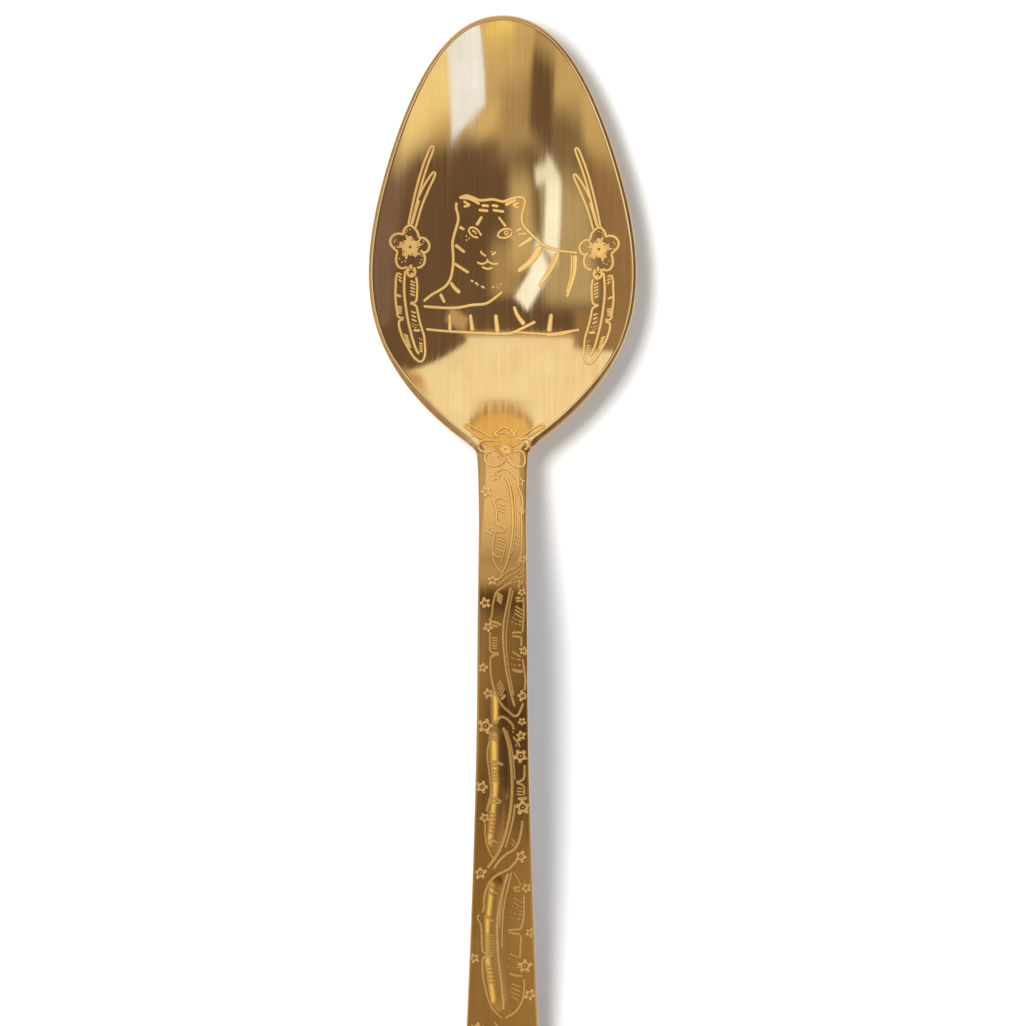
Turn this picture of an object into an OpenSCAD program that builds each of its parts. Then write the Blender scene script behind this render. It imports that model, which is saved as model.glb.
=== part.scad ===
// Souvenir teaspoon: an egg-shaped bowl on an arched, flared handle, struck with raised line art.
// The bowl shows a lying tiger between two sprigs of blossom; the handle shows a chain of leaves.
// Millimetres. +Y points to the bowl's tip and +Z up. The origin is the middle of the length, at table level.

/* [Bowl] */
// Width of the ellipse that the egg-shaped outline is drawn from
bowl_w = 29.8; // [29:0.1:31]
// Depth of the hollow below the rim
bowl_depth = 7.2; // [6:0.1:8.5]
// Sheet thickness at the bottom of the bowl
bowl_t = 1.2; // [1:0.05:1.6]
// Width of the flat land around the rim
rim_land = 0.45; // [0.3:0.05:0.7]
// How full the walls are: 0 is a plain dish, higher values give steeper sides
wall_fullness = 0; // [0:0.05:0.4]

/* [Handle] */
// Width at the neck, where the handle is narrowest
neck_w = 5.4; // [5.2:0.1:6.2]
// Width just before the rounded end
end_w = 10.4; // [9.6:0.1:12]
// Height of the top of the arch above the table
arch_h = 17.05; // [16.8:0.05:17.6]
// Thickness at the top of the arch
arch_t = 2.6; // [2.2:0.1:3]
// Thickness at the rounded end
end_t = 1.7; // [1.5:0.1:2]
// How far the upper face is crowned from its middle to its edges
crown = 0.12; // [0:0.02:0.2]

/* [Struck lines] */
// Height of the raised lines above the ground
relief_h = 0.12; // [0.08:0.01:0.2]
// Width of a fine line
fine_w = 0.24; // [0.2:0.01:0.3]
// Width of a bold line
bold_w = 0.42; // [0.3:0.01:0.5]

/* [Hidden] */
tip_y = 70;
end_y = -70;
split_y = 21;                       // the face where bowl and handle meet
egg_y = 20.2;                       // where the egg outline alone would close at the heel
egg_tip_y = 70.08;                  // and at the tip, just past the blunt end
deep_y = 41;                        // the deepest point
fade_y = 20;                        // where the hollow has run out into the handle
egg_mid = (egg_tip_y + egg_y) / 2;
egg_l = (egg_tip_y - egg_y) / 2;
egg_shape = [-0.24, -0.057, 0.306, -0.12];   // powers 1 to 4 that skew the ellipse to an egg
shoulder = 1.44;                    // softness of the corner between egg and neck
least_half = 0.4;                   // no ring of the body is narrower than twice this
edge_r = 0.15;                      // small bevel along every edge
end_round = 5;                      // length of the handle's rounded end
end_power = 2.6;                    // 2 is an ellipse, higher values are blunter
sink = 0.15;                        // how deep the roots of the raised lines sit in the metal
top_share = 0.55;                   // width of a line's flat top against its foot
rim_z = bowl_depth + bowl_t;

// Stations along the spoon: [y, height of the upper edge, thickness, half the width of the handle strip]
STATIONS = [
    [-70, end_t + 0.02, end_t + 0.05, end_w / 2 + 0.1],
    [-64, 2.1, 2.1, end_w / 2 - 0.1],
    [-56, 4.75, 2, end_w / 2 - 0.5],
    [-45, 8.25, 2.1, 4.1],
    [-32, 12.3, 2.2, 3.55],
    [-20, 15.4, 2.35, 3.15],
    [-10, arch_h - 0.2, arch_t - 0.1, 2.93],
    [-3, arch_h, arch_t, neck_w / 2 + 0.17],
    [3, 16.45, arch_t, neck_w / 2 + 0.12],
    [8, 14.75, arch_t, neck_w / 2 + 0.05],
    [13, 12.8, arch_t - 0.1, neck_w / 2],
    [18, 10.7, 2.3, neck_w / 2 + 0.1],
    [22, 9.2, 1.9, neck_w / 2 + 0.3],
    [26, 8.7, 1.5, neck_w / 2 + 0.1],
    [33, rim_z + 0.15, bowl_t + 0.1, neck_w / 2],
    [45, rim_z - 0.02, bowl_t, neck_w / 2],
    [58, rim_z - 0.15, bowl_t - 0.05, neck_w / 2],
    [70, rim_z - 0.2, bowl_t - 0.1, neck_w / 2]
];

// ---- smooth curve through rows of a table ----

function row_of(t, v, i = 0) = (i >= len(t) - 2 || v < t[i + 1][0]) ? i : row_of(t, v, i + 1);

function slope_at(t, c, i) =
    let (a = max(i - 1, 0), b = min(i + 1, len(t) - 1))
    (t[b][c] - t[a][c]) / (t[b][0] - t[a][0]);

function curve(t, c, v) =
    let (i = row_of(t, v), d = t[i + 1][0] - t[i][0], s = (v - t[i][0]) / d)
    (2 * s ^ 3 - 3 * s ^ 2 + 1) * t[i][c] + (3 * s ^ 2 - 2 * s ^ 3) * t[i + 1][c]
    + (s ^ 3 - 2 * s ^ 2 + s) * d * slope_at(t, c, i) + (s ^ 3 - s ^ 2) * d * slope_at(t, c, i + 1);

function ramp(a, b, v) = let (s = max(0, min(1, (v - a) / (b - a)))) s * s * (3 - 2 * s);

// ---- the spoon's form ----

function egg(y) =
    let (u = max(-1, min(1, (y - egg_mid) / egg_l)))
    bowl_w / 2 * sqrt(1 - u * u)
    * (1 + egg_shape[0] * u + egg_shape[1] * u ^ 2 + egg_shape[2] * u ^ 3 + egg_shape[3] * u ^ 4);

function rounded_end(y) =
    let (v = max(0, min(1, (end_y + end_round - y) / end_round)))
    (1 - v ^ end_power) ^ (1 / end_power);

function strip(y) = curve(STATIONS, 3, y) * rounded_end(y);

// The wider of egg and strip, with a soft corner where one takes over from the other
function half_width(y) =
    let (
        e = egg(y),
        k = shoulder * (1 - ramp(30, egg_mid, y)),
        w = max(least_half, strip(y)),
        n = w - k ^ 2 / (4 * w)
    )
    max(least_half, (e + n + sqrt((e - n) ^ 2 + k ^ 2)) / 2);

function edge_z(y) = curve(STATIONS, 1, y);
function thickness(y) = curve(STATIONS, 2, y);

// Depth of the hollow along the middle line: full towards the tip, running out softly at the heel
function hollow(y) =
    y > deep_y
    ? let (u = (y - deep_y) / (tip_y - deep_y)) bowl_depth * (1 - u * u) * (1 + wall_fullness * u * u)
    : let (u = min(1, (deep_y - y) / (deep_y - fade_y))) bowl_depth * (1 - u * u) ^ 1.5;

function wall(t) = let (s = min(1, abs(t))) (1 - s * s) * (1 + wall_fullness * s * s);

function land(y) = rim_land * (1 + ramp(32, 24, y));

function top_z(x, y) =
    let (h = half_width(y))
    edge_z(y) - hollow(y) * wall(x / max(0.05, h - land(y)))
    - crown * (1 - ramp(fade_y, 30, y)) * min(1, abs(x / h)) ^ 2;

function under_z(x, y) = max(0, edge_z(y) - thickness(y) - hollow(y) * wall(x / half_width(y)));

// One closed ring of the body at a station: across the top, then back along the underside
function ring(y, n) =
    let (
        h = half_width(y),
        b = min(edge_r, h / 3),
        xs = concat([-h], [for (i = [0:n]) (h - b) * (2 * i / n - 1)], [h]),
        m = len(xs) - 1
    )
    concat(
        [for (i = [0:m]) [xs[i], y, top_z(xs[i], y) - (i == 0 || i == m ? edge_r : 0)]],
        [for (i = [m:-1:0]) [xs[i], y, under_z(xs[i], y) + (i == 0 || i == m ? edge_r : 0)]]
    );

// A closed solid through rings of equal size, in order of rising y
module loft(rings) {
    n = len(rings[0]);
    last = len(rings) - 1;
    sides = [
        for (k = [0:last - 1]) for (i = [0:n - 1])
            let (a = k * n + i, b = k * n + (i + 1) % n)
            each [[a, a + n, b], [b, a + n, b + n]]
    ];
    half = n / 2;
    // each end is a strip of quads between its upper and its lower row
    caps = [
        for (i = [0:half - 2])
            let (a = i, b = i + 1, c = n - 2 - i, d = n - 1 - i, o = last * n)
            each [[a, b, c], [a, c, d], [o + b, o + a, o + c], [o + a, o + d, o + c]]
    ];
    polyhedron(points = [for (r = rings) each r], faces = concat(sides, caps));
}

// ---- raised lines ----

function heading(p, i) =
    let (a = p[max(i - 1, 0)], b = p[min(i + 1, len(p) - 1)], d = b - a) d / norm(d);

// The four corners of a line's section at one of its points
function line_section(p, i, w) =
    let (d = heading(p, i), side = [-d.y, d.x], q = p[i])
    [
        for (c = [[-1, 0], [-top_share, 1], [top_share, 1], [1, 0]])
            let (x = q.x + side.x * c[0] * w / 2, y = q.y + side.y * c[0] * w / 2)
            [x, y, top_z(x, y) + (c[1] == 1 ? relief_h : -sink)]
    ];

// A raised line along points, w wide at its start and w_end wide at its end
module line(p, w = fine_w, w_end = 0) {
    last = len(p) - 1;
    we = w_end == 0 ? w : w_end;
    pts = [for (i = [0:last]) each line_section(p, i, w + (we - w) * i / last)];
    sides = [
        for (k = [0:last - 1]) for (i = [0:3])
            let (a = 4 * k + i, b = 4 * k + (i + 1) % 4)
            each [[a, b, a + 4], [b, b + 4, a + 4]]
    ];
    o = 4 * last;
    polyhedron(
        points = pts,
        faces = concat(sides, [[2, 1, 0], [3, 2, 0], [o, o + 1, o + 2], [o, o + 2, o + 3]])
    );
}

module lines(list, w = fine_w) {
    for (p = list) line(p, w);
}

module stud(p, w) {
    translate([p.x, p.y, top_z(p.x, p.y) - sink])
        cylinder(h = sink + relief_h, d1 = w, d2 = top_share * w, $fn = 6);
}

// A short straight mark between two points
module tick(a, b, w = fine_w) {
    hull() {
        stud(a, w);
        stud(b, w);
    }
}

module ticks(list, w = fine_w) {
    for (m = list) tick(m[0], m[1], w);
}

// A row of slanting marks: n of them, spaced along y, each running across by (dx, dy)
module hatch(start, n, step, dx, dy, w = fine_w) {
    for (i = [0:n - 1])
        tick(start + [0, -step * i], start + [dx, dy - step * i], w);
}

// A small five-petalled blossom of radius r: a ten-sided rosette with narrower waists between its petals
module small_blossom(c, r) {
    waist = 0.6;
    crest = 0.75;
    rim = [for (k = [0:9]) (k % 2 == 0 ? r : waist * r) * [sin(36 * k), cos(36 * k)]];
    low = [for (q = rim) [c.x + q.x, c.y + q.y, top_z(c.x, c.y) - sink]];
    high = [for (q = rim) [c.x + crest * q.x, c.y + crest * q.y, top_z(c.x, c.y) + relief_h]];
    sides = [for (k = [0:9]) each [[k, k + 10, (k + 1) % 10], [(k + 1) % 10, k + 10, 10 + (k + 1) % 10]]];
    polyhedron(
        points = concat(low, high),
        faces = concat(sides, [[for (k = [0:9]) k], [for (k = [19:-1:10]) k]])
    );
}

function moved(p, dx, dy, sx = 1, sy = 1) = [for (q = p) [q.x * sx + dx, q.y * sy + dy]];
function all_moved(list, dx, dy, sx = 1, sy = 1) = [for (p = list) moved(p, dx, dy, sx, sy)];

// ---- the drawing ----

HEAD_AND_BACK = [
    [-5, 49.4], [-4.1, 49.6], [-3.4, 49.4], [-2.5, 49.1], [-1.1, 49.2], [0.1, 48.9], [1.3, 49.3], [2, 49.4],
    [2.4, 49.3], [2.6, 49], [2.5, 48.5], [2.3, 47.8], [2.2, 47.1], [2.3, 46.5], [2.6, 46], [3.8, 44.7],
    [4.5, 44], [5.2, 43.6], [6.2, 43.4], [7.4, 43.2], [8.5, 43.1]
];
BREAST = [
    [-5.2, 48.8], [-5.3, 48.1], [-5.1, 47.4], [-5, 46.8], [-5.2, 46], [-5.5, 45], [-5.7, 44.2], [-5.6, 42.2],
    [-5.7, 41.3], [-6, 39.9], [-6.4, 39.2], [-7.2, 38.8], [-8, 38.3], [-9, 37.5]
];
FORELEG = [
    [-9, 36.9], [-7.8, 36.9], [-6.2, 36.8], [-5, 36.8], [-3.5, 37.1], [-1.9, 37.3], [-1, 37.9], [0, 38.6]
];

NEEDLE_LONG = [
    [-10.7, 46.1], [-10.4, 47.5], [-9.9, 50], [-9.2, 52.6], [-8.4, 54.6], [-8, 55.2], [-7.8, 54.9],
    [-8.5, 53.1], [-9.2, 50.9], [-9.9, 48], [-10.4, 46.1]
];
NEEDLE_SHORT = [
    [-10.3, 46.1], [-9.7, 48.5], [-9, 50.6], [-7.9, 52.3], [-7.7, 52], [-8.4, 50.4], [-9.2, 48.3], [-9.9, 46]
];
SPRIG_CENTRE = [-10.55, 43.7];
SPRIG_PETALS = [
    [[-11.3, 45.1], [-11.1, 45.6], [-10.6, 46.1], [-10.1, 45.9], [-9.7, 45.3], [-9.6, 44.7]],
    [[-9.5, 44.6], [-8.8, 44.6], [-8.4, 44.1], [-8.4, 43.5], [-8.8, 43.1], [-9.4, 43.4]],
    [[-9.2, 43.2], [-8.9, 42.6], [-8.9, 42], [-9.2, 41.5], [-9.7, 41.4]],
    [[-12, 43], [-12.1, 42.3], [-12, 41.7], [-11.6, 41.3], [-11, 41.4]],
    [[-11.4, 45.2], [-12.1, 45.2], [-12.7, 44.7], [-12.7, 44], [-12.2, 43.4], [-11.9, 43.1]]
];
SPRIG_STAMENS = [
    [-11.9, 44.9], [-12, 44], [-10.6, 45.2], [-10, 44.8], [-9.6, 44], [-9.4, 43.1], [-9.8, 42.5],
    [-10.2, 42], [-11.1, 42.4], [-11.8, 43.2]
];
LEAF_LEFT = [
    [-11.9, 40.8], [-12.1, 40.2], [-12.1, 39], [-12.2, 38.2], [-12.1, 37.2], [-12, 36.4], [-11.9, 35.7]
];
LEAF_LEFT_LOWER = [
    [-11.8, 35], [-11.7, 34.4], [-11.5, 33.7], [-11.2, 33.1], [-10.9, 32.6], [-10.4, 31.5], [-9.9, 31], [-9.5, 30.7]
];
LEAF_RIB = [
    [-11, 41], [-11.2, 39.6], [-11.1, 38], [-11, 36.8], [-10.8, 35.6], [-10.6, 34.6], [-10.3, 33.6],
    [-10, 32.6], [-9.5, 31.4]
];
LEAF_RIGHT = [
    [-9.9, 40.3], [-9.7, 39.6], [-9.7, 38.5], [-9.8, 37.5]
];
LEAF_RIGHT_LOWER = [
    [-9.8, 36.9], [-9.6, 35.9], [-9.4, 35.2], [-9.2, 34.4], [-9, 33.8], [-8.9, 33], [-8.9, 32.2],
    [-8.8, 31.6], [-9, 30.9], [-9.3, 30.6]
];
SPRIG_LEAF = [LEAF_LEFT, LEAF_LEFT_LOWER, LEAF_RIB, LEAF_RIGHT, LEAF_RIGHT_LOWER];
// The right sprig is the left one mirrored and set a little further out and lower
MIRROR_DX = 0.45;
MIRROR_DY = -0.25;

NECK_PETALS = [
    [[-1, 22.1], [-0.3, 22.8], [0.2, 23.1], [0.8, 22.9], [1.4, 22.2]],
    [[-1.1, 21.5], [-1.7, 21.6], [-2.4, 21.5], [-2.7, 20.9], [-2.4, 20.4], [-1.8, 20.3]],
    [[-1.3, 20.5], [-1.9, 20.1], [-1.9, 19.3], [-1.4, 18.8], [-0.6, 18.7], [0.1, 19.1]],
    [[0.5, 20], [0.7, 19.4], [1.2, 18.9], [1.9, 18.7], [2.3, 19.1], [2.4, 19.8], [2, 20.4]],
    [[1.7, 21.9], [2.3, 21.8], [2.8, 21.6], [2.9, 21.1], [2.4, 20.6]]
];
NECK_NEEDLES = [
    [[-2.4, 21.9], [-3.1, 22.5], [-3.8, 23], [-4.2, 23.5], [-3.2, 23.1], [-2.2, 22.6], [-1.2, 22]],
    [[2.4, 22.2], [3.1, 22.8], [3.8, 23.2], [4.4, 23.5], [4.6, 23.2], [3.9, 22.8], [3.2, 22.3]]
];

LEAF_1 = [
    [[-0.5, 18.1], [0, 18.4], [0.6, 18.4], [1.3, 17.6], [1.7, 17], [1.8, 16.2], [2.1, 15.5], [2.3, 14.5],
     [2.2, 13], [2.2, 11], [2.1, 9.2], [1.9, 8.1], [1.5, 7.5]],
    [[0.3, 17.5], [0.7, 16.9], [0.9, 16], [1.1, 14.5], [1.2, 12.5], [1.1, 10.7], [0.8, 9], [0.4, 7.8], [0.2, 7.2]],
    [[-0.9, 14.7], [-0.7, 14], [-0.6, 13.2], [-0.7, 12.4]],
    [[-0.9, 10.9], [-1.1, 9.8], [-1.1, 8.4], [-0.7, 7.3], [-0.2, 6.6]],
    [[-1, 15], [-0.5, 15.2], [0.1, 15.2], [0.6, 14.9]],
    [[-0.6, 12], [0, 11.9], [0.4, 11.5], [0, 11.3], [-0.7, 11.3]]
];
LEAF_2 = [
    [[1.1, 5.5], [0.1, 5], [-0.6, 4.5], [-0.9, 3.7], [-1.1, 2.8], [-1.2, 1.9], [-1.4, 1.2]],
    [[0.9, 4.9], [0.6, 3.4], [0.3, 1.8], [0.1, 0], [0.1, -1.4], [0.3, -3.2], [0.5, -4.8], [0.9, -6.6], [1.3, -8.4]],
    [[2.3, 3.9], [2.4, 2.6], [2.4, 1.2], [2.3, 0]],
    [[2.2, -0.8], [2.2, -2.2], [2.3, -3.2], [2.5, -4.6], [2.6, -5.8], [2.5, -7], [2.3, -8.1], [1.8, -9.3],
     [1.4, -9.6], [0.6, -9], [-0.2, -8.1], [-0.8, -7], [-1.2, -5.4], [-1.4, -4.1], [-1.3, -2.9]],
    [[-1.4, -2.3], [-1.4, -1.2], [-1.3, -0.1]]
];
LEAF_3 = [
    [[-0.8, -10.5], [-0.3, -9.7], [0.3, -9.8], [0.9, -10.3], [1.3, -11]],
    [[0.1, -10.8], [0.5, -12.2], [0.9, -13.9], [1.1, -16.2], [1.1, -18], [0.9, -20], [0.7, -21.4], [0.2, -23.1],
     [-0.4, -24.8], [-1.2, -26.1], [-1.7, -26.8]],
    [[1.2, -20.2], [1.1, -21.2], [0.8, -22.7], [0.3, -24.8]],
    [[2.5, -15.1], [2.5, -16], [2.4, -16.7]],
    [[2.4, -17.5], [2.4, -18.2], [2.4, -19]],
    [[2.2, -21.4], [2.1, -22.9], [1.7, -24.2], [0.9, -25], [0, -25.6], [-1, -26.9]],
    [[-1.4, -12.5], [-1.7, -13.6], [-1.6, -15], [-1.4, -16.6], [-1.2, -17.9], [-1.5, -19.2], [-1.8, -20.4]],
    [[-1.9, -21.7], [-1.9, -23.1], [-1.6, -24.5], [-1, -25.7]]
];
LEAF_4 = [
    [[1.6, -25.9], [0.9, -26.8], [0, -27.3], [-0.9, -27.8], [-1.6, -28.8], [-2, -29.9], [-2.1, -30.9], [-2.3, -31.9]],
    [[-2.6, -32.1], [-2.7, -32.6], [-2.4, -33.3], [-2.3, -35], [-2.2, -36.5]],
    [[-2.2, -37.1], [-2.2, -38.6], [-2, -40.1], [-1.6, -41.8], [-1, -43], [0, -44]],
    [[0.7, -27.4], [0.1, -28.9], [-0.2, -30.3], [-0.5, -31.8], [-0.6, -33.6], [-0.6, -35.8], [-0.4, -37.6],
     [-0.2, -39.2], [0, -41], [0.1, -43]],
    [[1.3, -27.3], [1.8, -28.1], [2.1, -28.8]],
    [[2.4, -29.8], [2.4, -31.8], [2.2, -33.2], [2.1, -33.7]],
    [[2.1, -34.4], [2, -35.8], [1.9, -37.1]],
    [[2.3, -39.3], [2.4, -40.4], [2.2, -42], [1.5, -43.2], [0.3, -44]]
];
// The fifth leaf repeats the third, wider, as the handle is wider there
LEAF_5_DY = -36.3;
LEAF_5_SX = 1.35;
LEAF_5_SY = 0.95;

BRANCHES = [
    [[2, 7.9], [1.8, 7.4], [1.3, 7.1], [0.5, 6.7], [0, 6.3], [-0.3, 5.9], [-0.5, 5.6]],
    [[2.1, 6.9], [1.9, 6.2], [1.8, 5.5], [1.8, 4.8]],
    [[1.2, -11.9], [1.6, -12.4], [2, -13.1]],
    [[-0.9, -44.4], [-0.5, -44.9], [0.3, -45.2], [1.1, -45]]
];
HANDLE_BLOSSOMS = [
    [-0.75, 17.6, 0.5], [-1.8, 15.8, 0.6], [-1.4, 11.4, 0.45], [2, 16.9, 0.4], [-1.1, 5.75, 0.5],
    [-1.95, 3.2, 0.55], [-1.6, 0.5, 0.5], [-2.1, -4.1, 0.55], [-1.6, -7, 0.5], [2.2, 4.5, 0.4],
    [2.2, -10.2, 0.45], [-1.9, -10.8, 0.8], [2.1, -11.8, 0.5], [2, -14.2, 0.7], [-2.3, -17.6, 0.6],
    [2.1, -20.1, 0.8], [-2, -21.2, 0.45], [2.1, -25.5, 0.6], [-2.5, -27.4, 0.6], [2.7, -29.1, 0.5],
    [2.5, -38.1, 0.7], [-3.1, -37.1, 0.5], [3.1, -41.3, 0.6], [-2.8, -45.2, 0.7], [3, -47.3, 0.7],
    [-3.3, -52.2, 0.7], [3.2, -56, 0.8], [-3.3, -58.6, 0.6]
];
END_CENTRE = [0, -65.5];
END_R = 2.3;

// ---- modules of the pieces ----

module bowl() {
    stations = 36;
    color("goldenrod")
        loft([
            for (k = [0:stations])
                ring(split_y + (tip_y - split_y) * (1 - cos(180 * k / stations)) / 2, 18)
        ]);
}

module handle() {
    rounded = 7;
    straight = 42;
    round_y = end_y + end_round;
    color("gold")
        loft(concat(
            [for (k = [0:rounded - 1]) ring(end_y + end_round * (1 - cos(90 * k / rounded)), 6)],
            [for (k = [0:straight]) ring(round_y + (split_y - round_y) * k / straight, 6)]
        ));
}

module tiger_outline() {
    color("khaki") {
        lines([HEAD_AND_BACK, BREAST, FORELEG]);
        ticks([[[-3.8, 49.1], [-2.7, 48.6]], [[0.3, 48.5], [1.3, 49.1]]], bold_w);
        ticks([
            [[-4.4, 48.9], [-3.7, 48.5]], [[-3.7, 48.5], [-4.4, 48.3]],
            [[1.8, 48.8], [1.2, 48.6]], [[1.2, 48.6], [1.8, 48.2]]
        ]);
        ticks([[[-4.9, 46.1], [-4.3, 45.7]], [[2.3, 45.8], [1.7, 45.6]]], bold_w);
    }
}

module tiger_face() {
    color("khaki") {
        ticks([
            [[-2.3, 48.4], [-1.5, 48.4]], [[-1.2, 48.5], [-0.4, 48.3]],
            [[-2.7, 48], [-1.4, 47.8]], [[-1, 48], [0.3, 47.8]]
        ], 0.3);
        tick([-2.3, 47.2], [-3, 46.1], 0.35);
        tick([-0.4, 47.2], [0.4, 46.1]);
        lines([
            [[-3.8, 45.8], [-3.3, 45.9], [-2.8, 45.5], [-2.5, 45]],
            [[-3.8, 45.7], [-3.6, 45.2], [-2.9, 44.9]],
            [[-0.6, 45.1], [-0.1, 45.6], [0.6, 45.8], [1, 45.6]],
            [[-0.5, 45], [0.3, 44.8], [0.9, 45], [1.1, 45.4]],
            [[-2.5, 43.3], [-2.3, 42.9], [-1.9, 42.7]],
            [[-2.9, 42], [-2.4, 41.8], [-1.7, 42], [-1.1, 41.8], [-0.5, 41.9]],
            [[-2.4, 41.4], [-1.8, 41.2], [-1.1, 41.3]]
        ]);
        stud([-3.2, 45.4], 0.34);
        stud([0.45, 45.35], 0.34);
        for (c = [[-4.1, 45], [-3.8, 44.7], [-4.1, 44.5], [1.1, 44.6]]) stud(c, fine_w);
        ticks([
            [[-1.3, 43], [-1.2, 42.8]], [[-1.2, 42.8], [-0.7, 43]], [[-1.7, 42.4], [-1.7, 42]],
            [[-3.7, 39.9], [-2.8, 39.3]], [[-2.4, 39.3], [-2, 39]], [[-1.2, 39.1], [-0.9, 39.1]],
            [[-0.4, 39.2], [0, 39.4]]
        ]);
    }
}

module tiger_stripes() {
    color("khaki") {
        ticks([
            [[-5.5, 44], [-4.3, 43.2]], [[-5.5, 41.8], [-3.9, 40.8]],
            [[-5.9, 39.5], [-4.9, 38.5]], [[-7.1, 38.3], [-6.6, 37.4]]
        ], 0.3);
        ticks([
            [[3.2, 44.6], [2, 43.9]], [[6.3, 42.7], [5.3, 41]], [[5.3, 41], [4.3, 39.4]],
            [[8.1, 42.5], [7.8, 40.3]], [[7.8, 40.3], [7.3, 38]]
        ], bold_w);
        ticks([[[4.2, 43.6], [3.3, 42]], [[3.3, 42], [2, 41.1]]], 0.6);
    }
}

module tiger_paws() {
    color("khaki") {
        lines([
            [[-8.7, 34.3], [-6.6, 34.1], [-4.1, 34], [-1.7, 33.9], [0.5, 33.9], [1.3, 34], [2.4, 34.6], [3.7, 35.2]],
            [[2, 34], [3.8, 33.8], [5.6, 33.8], [7.1, 34], [8.7, 34.2]],
            [[6.3, 33.4], [7.5, 33.7], [8.7, 34.1]]
        ]);
        ticks([
            [[-6, 36], [-5.9, 34.2]], [[-3.6, 36], [-3.4, 34.2]], [[-0.7, 36], [-0.5, 34]],
            [[1.4, 36.8], [1.8, 35.9]], [[1.8, 35.9], [2.4, 35]], [[5.5, 36.1], [5.3, 34]]
        ], bold_w);
        ticks([[[-8.9, 37], [-8.6, 36.9]], [[2.4, 34.6], [2.9, 34.3]]]);
    }
}

// A pair of needle leaves, on the left as drawn or on the right as its mirror image
module needles(side) {
    list = side < 0
        ? [NEEDLE_LONG, NEEDLE_SHORT]
        : all_moved([NEEDLE_LONG, NEEDLE_SHORT], MIRROR_DX, MIRROR_DY, -1);
    lines(list, 0.22);
}

module sprig_blossom(side) {
    mx = side < 0 ? 0 : MIRROR_DX;
    my = side < 0 ? 0 : MIRROR_DY;
    lines(all_moved(SPRIG_PETALS, mx, my, -side));
    c = moved([SPRIG_CENTRE], mx, my, -side)[0];
    for (s = moved(SPRIG_STAMENS, mx, my, -side)) tick(c, s, 0.16);
    block = moved([[-10.6, 40.9], [-10.2, 40.5]], mx, my, -side);
    tick(block[0], block[1], 0.6);
}

module sprig_leaf(side) {
    mx = side < 0 ? 0 : MIRROR_DX;
    my = side < 0 ? 0 : MIRROR_DY;
    lines(all_moved(SPRIG_LEAF, mx, my, -side));
    marks = [
        for (i = [0:4]) [[-10.5, 39.6 - 0.45 * i], [-10, 39.4 - 0.45 * i]],
        for (i = [0:2]) [[-12, 37 - 0.35 * i], [-11.5, 36.9 - 0.35 * i]],
        [[-10.5, 37.3], [-9.9, 37]], [[-11.8, 35.4], [-11.3, 35.4]], [[-10.2, 34.2], [-9.4, 34.2]],
        [[-11, 33.3], [-10.6, 32.8]]
    ];
    for (m = marks) {
        t = moved(m, mx, my, -side);
        tick(t[0], t[1]);
    }
}

module left_needles() { color("khaki") needles(-1); }
module left_blossom() { color("khaki") sprig_blossom(-1); }
module left_leaf() { color("khaki") sprig_leaf(-1); }
module right_needles() { color("khaki") needles(1); }
module right_blossom() { color("khaki") sprig_blossom(1); }
module right_leaf() { color("khaki") sprig_leaf(1); }

module neck_needles() { color("khaki") lines(NECK_NEEDLES, 0.2); }

module neck_blossom() {
    centre = [0.3, 20.6];
    color("khaki") {
        lines(NECK_PETALS);
        for (k = [0:9]) tick(centre, centre + 0.95 * [sin(36 * k), cos(36 * k)], 0.16);
    }
}

module handle_leaf_1() {
    color("khaki") {
        lines(LEAF_1);
        hatch([-0.6, 14.4], 3, 0.4, 1, -0.35);
        hatch([-0.7, 10.8], 5, 0.38, 0.9, -0.3);
    }
}

module handle_leaf_2() {
    color("khaki") {
        lines(LEAF_2);
        hatch([-1.25, -0.65], 4, 0.37, 0.65, 0.1);
        hatch([1.4, 2.9], 3, 0.4, 0.9, -0.55);
        hatch([1.2, -3], 3, 0.4, 0.8, -0.1);
        tick([1.4, 3.75], [2.1, 3.7], 0.3);
        tick([-1.6, 1.15], [-0.15, 0.65], 0.3);
    }
}

module handle_leaf_3() {
    color("khaki") {
        lines(LEAF_3, 0.26);
        hatch([-1.5, -15.4], 4, 0.4, 0.9, -0.1);
        hatch([-1.6, -20.7], 5, 0.5, 0.9, -0.4);
        tick([-1.4, -14.8], [0, -15], 0.3);
        tick([1.7, -19], [2.7, -19], 0.3);
    }
}

module handle_leaf_4() {
    color("khaki") {
        lines(LEAF_4, 0.26);
        hatch([-2, -34.4], 5, 0.42, 0.9, -0.1);
        hatch([1.3, -30.2], 3, 0.5, 0.9, -0.5);
        tick([-2.1, -32.3], [-1, -32.9], 0.35);
        tick([0.8, -38.9], [2.2, -39.1], 0.35);
    }
}

module handle_leaf_5() {
    color("khaki") {
        lines(all_moved(LEAF_3, 0, LEAF_5_DY, LEAF_5_SX, LEAF_5_SY), 0.3);
        hatch([-2, -51], 4, 0.45, 1.2, -0.1, 0.28);
        hatch([-2.1, -56], 5, 0.5, 1.2, -0.4, 0.28);
    }
}

module handle_twigs() {
    color("khaki") {
        lines(BRANCHES);
        ticks([
            [[1.8, 6.6], [2.3, 6.2]], [[1.8, 5.6], [2.3, 5.3]], [[1.6, -12.4], [2.1, -12.3]],
            [[1, -23.4], [1.6, -24.1]], [[1, -24], [1.4, -24.4]], [[-1.5, -11.6], [-0.6, -12.1]],
            [[-0.5, -44.9], [-0.9, -45.3]], [[0.3, -45.2], [0.6, -45.6]]
        ]);
    }
}

module handle_blossoms() {
    color("khaki")
        for (b = HANDLE_BLOSSOMS) small_blossom([b[0], b[1]], b[2]);
}

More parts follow.
